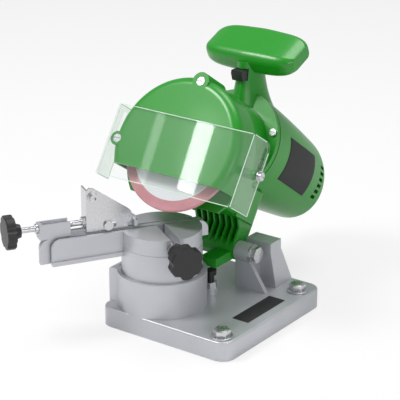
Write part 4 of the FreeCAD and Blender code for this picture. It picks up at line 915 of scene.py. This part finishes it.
class Studio:
    """Camera, lamps, world and floor."""

    azimuth = math.radians(36.1)
    elevation = math.radians(21.1)
    eye = Vector((0.7189, -1.0725, 0.6167))
    lens = 151.8

    def camera(self) -> None:
        """Place the camera at the photograph's angle."""
        data = bpy.data.cameras.new("camera")
        data.lens = self.lens
        data.sensor_width = 36.0
        cam = bpy.data.objects.new("camera", data)
        bpy.context.scene.collection.objects.link(cam)
        a, e = self.azimuth, self.elevation
        look = Vector((-math.sin(a) * math.cos(e), math.cos(a) * math.cos(e), -math.sin(e)))
        cam.location = self.eye
        cam.rotation_euler = look.to_track_quat("-Z", "Y").to_euler()
        bpy.context.scene.camera = cam

    def lamp(self, name: str, place: Point, aim: Point, size: Sequence[float], power: float,
             upright: Point = (0.0, 0.0, 1.0)) -> None:
        """Add one soft lamp.

        Args:
            name: lamp name.
            place: position in metres.
            aim: point it faces.
            size: width and height in metres.
            power: power in watts.
            upright: direction its height follows.
        """
        data = bpy.data.lights.new(name, "AREA")
        data.shape = "RECTANGLE"
        data.size, data.size_y = size
        data.energy = power
        lamp = bpy.data.objects.new(name, data)
        bpy.context.scene.collection.objects.link(lamp)
        back = (Vector(place) - Vector(aim)).normalized()
        across = Vector(upright).cross(back).normalized()
        turn = Matrix((across, back.cross(across), back)).transposed()
        lamp.location = place
        lamp.rotation_euler = turn.to_euler()

    def floor(self) -> None:
        """White ground that catches the soft shadow."""
        bpy.ops.mesh.primitive_plane_add(size=12.0, location=(0, 0, -0.0004))
        ground = bpy.context.object
        ground.name = "floor"
        maker = NodeMaker("floor")
        soft = maker.noise(400.0, 2.0)
        pale = maker.mix(soft, (0.86, 0.86, 0.86), (0.90, 0.90, 0.90))
        shader = maker.node("ShaderNodeBsdfPrincipled", {"Base Color": pale, "Roughness": 0.9})
        glow = maker.node("ShaderNodeEmission", {"Color": (1.0, 1.0, 1.0, 1.0), "Strength": 1.0})
        seen = Maths(maker, maker.node("ShaderNodeLightPath").outputs["Is Camera Ray"]) * 0.72
        both = maker.blend(seen, shader, glow)
        ground.data.materials.append(maker.finish(both.outputs[0]))
        ground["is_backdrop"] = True

    def world(self) -> None:
        """Plain light all round, seen white by the camera."""
        world = bpy.data.worlds.new("world")
        bpy.context.scene.world = world
        world.use_nodes = True
        tree = world.node_tree
        tree.nodes.clear()
        out = tree.nodes.new("ShaderNodeOutputWorld")
        path = tree.nodes.new("ShaderNodeLightPath")
        mix = tree.nodes.new("ShaderNodeMixShader")
        light = tree.nodes.new("ShaderNodeBackground")
        light.inputs[0].default_value = (0.97, 0.98, 1.0, 1.0)
        light.inputs[1].default_value = 0.38
        white = tree.nodes.new("ShaderNodeBackground")
        white.inputs[0].default_value = (1.0, 1.0, 1.0, 1.0)
        tree.links.new(path.outputs["Is Camera Ray"], mix.inputs[0])
        tree.links.new(light.outputs[0], mix.inputs[1])
        tree.links.new(white.outputs[0], mix.inputs[2])
        tree.links.new(mix.outputs[0], out.inputs[0])

    def build(self) -> None:
        """Set up the whole studio."""
        self.camera()
        self.world()
        self.floor()
        self.lamp("key", (-0.62, -0.55, 1.25), (-0.08, 0.0, 0.1), (0.45, 0.45), 11.5)
        self.lamp("fill", (1.1, -0.5, 0.5), (-0.05, 0.02, 0.1), (0.8, 0.6), 3.4)
        self.lamp("top", (0.0, 0.45, 1.2), (-0.08, 0.05, 0.1), (0.6, 0.6), 5.5)
        upright = (-0.01, 0.596, 0.803)
        self.lamp("strip", (-0.557, -0.56, 0.666), (-0.0555, -0.0164, 0.153),
                  (0.024, 0.11), 0.2, upright)
        self.lamp("slim_strip", (-0.622, -0.555, 0.649), (-0.1005, -0.019, 0.149),
                  (0.012, 0.11), 0.02, upright)
        bpy.context.scene.view_settings.view_transform = "Standard"


def save_bounds(sizes: dict, label: str) -> None:
    """Note the object's corners under a label.

    Args:
        sizes: where they are collected.
        label: the moment they were taken.
    """
    low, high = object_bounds()
    sizes[label] = [list(low), list(high)]


def main() -> None:
    """Build the looks of the sharpener in order."""
    logging.basicConfig(level=logging.INFO)
    sizes: dict = {}
    save_bounds(sizes, "cad")
    shop = Workshop(FinishLibrary(), Repeater(), frame["nodes"])
    NodePainter(shop, frame["record"]).paint()
    BenchBolts(shop, BoltSizes()).build()
    AngleScale(shop, ScaleSizes()).build()
    Threads(shop).build()
    BarePlates(shop, PlateSizes()).build()
    ShieldEdges(shop, ShieldSizes()).build()
    Studio().build()
    save_bounds(sizes, "visual")


if __name__ == "__main__":
    main()
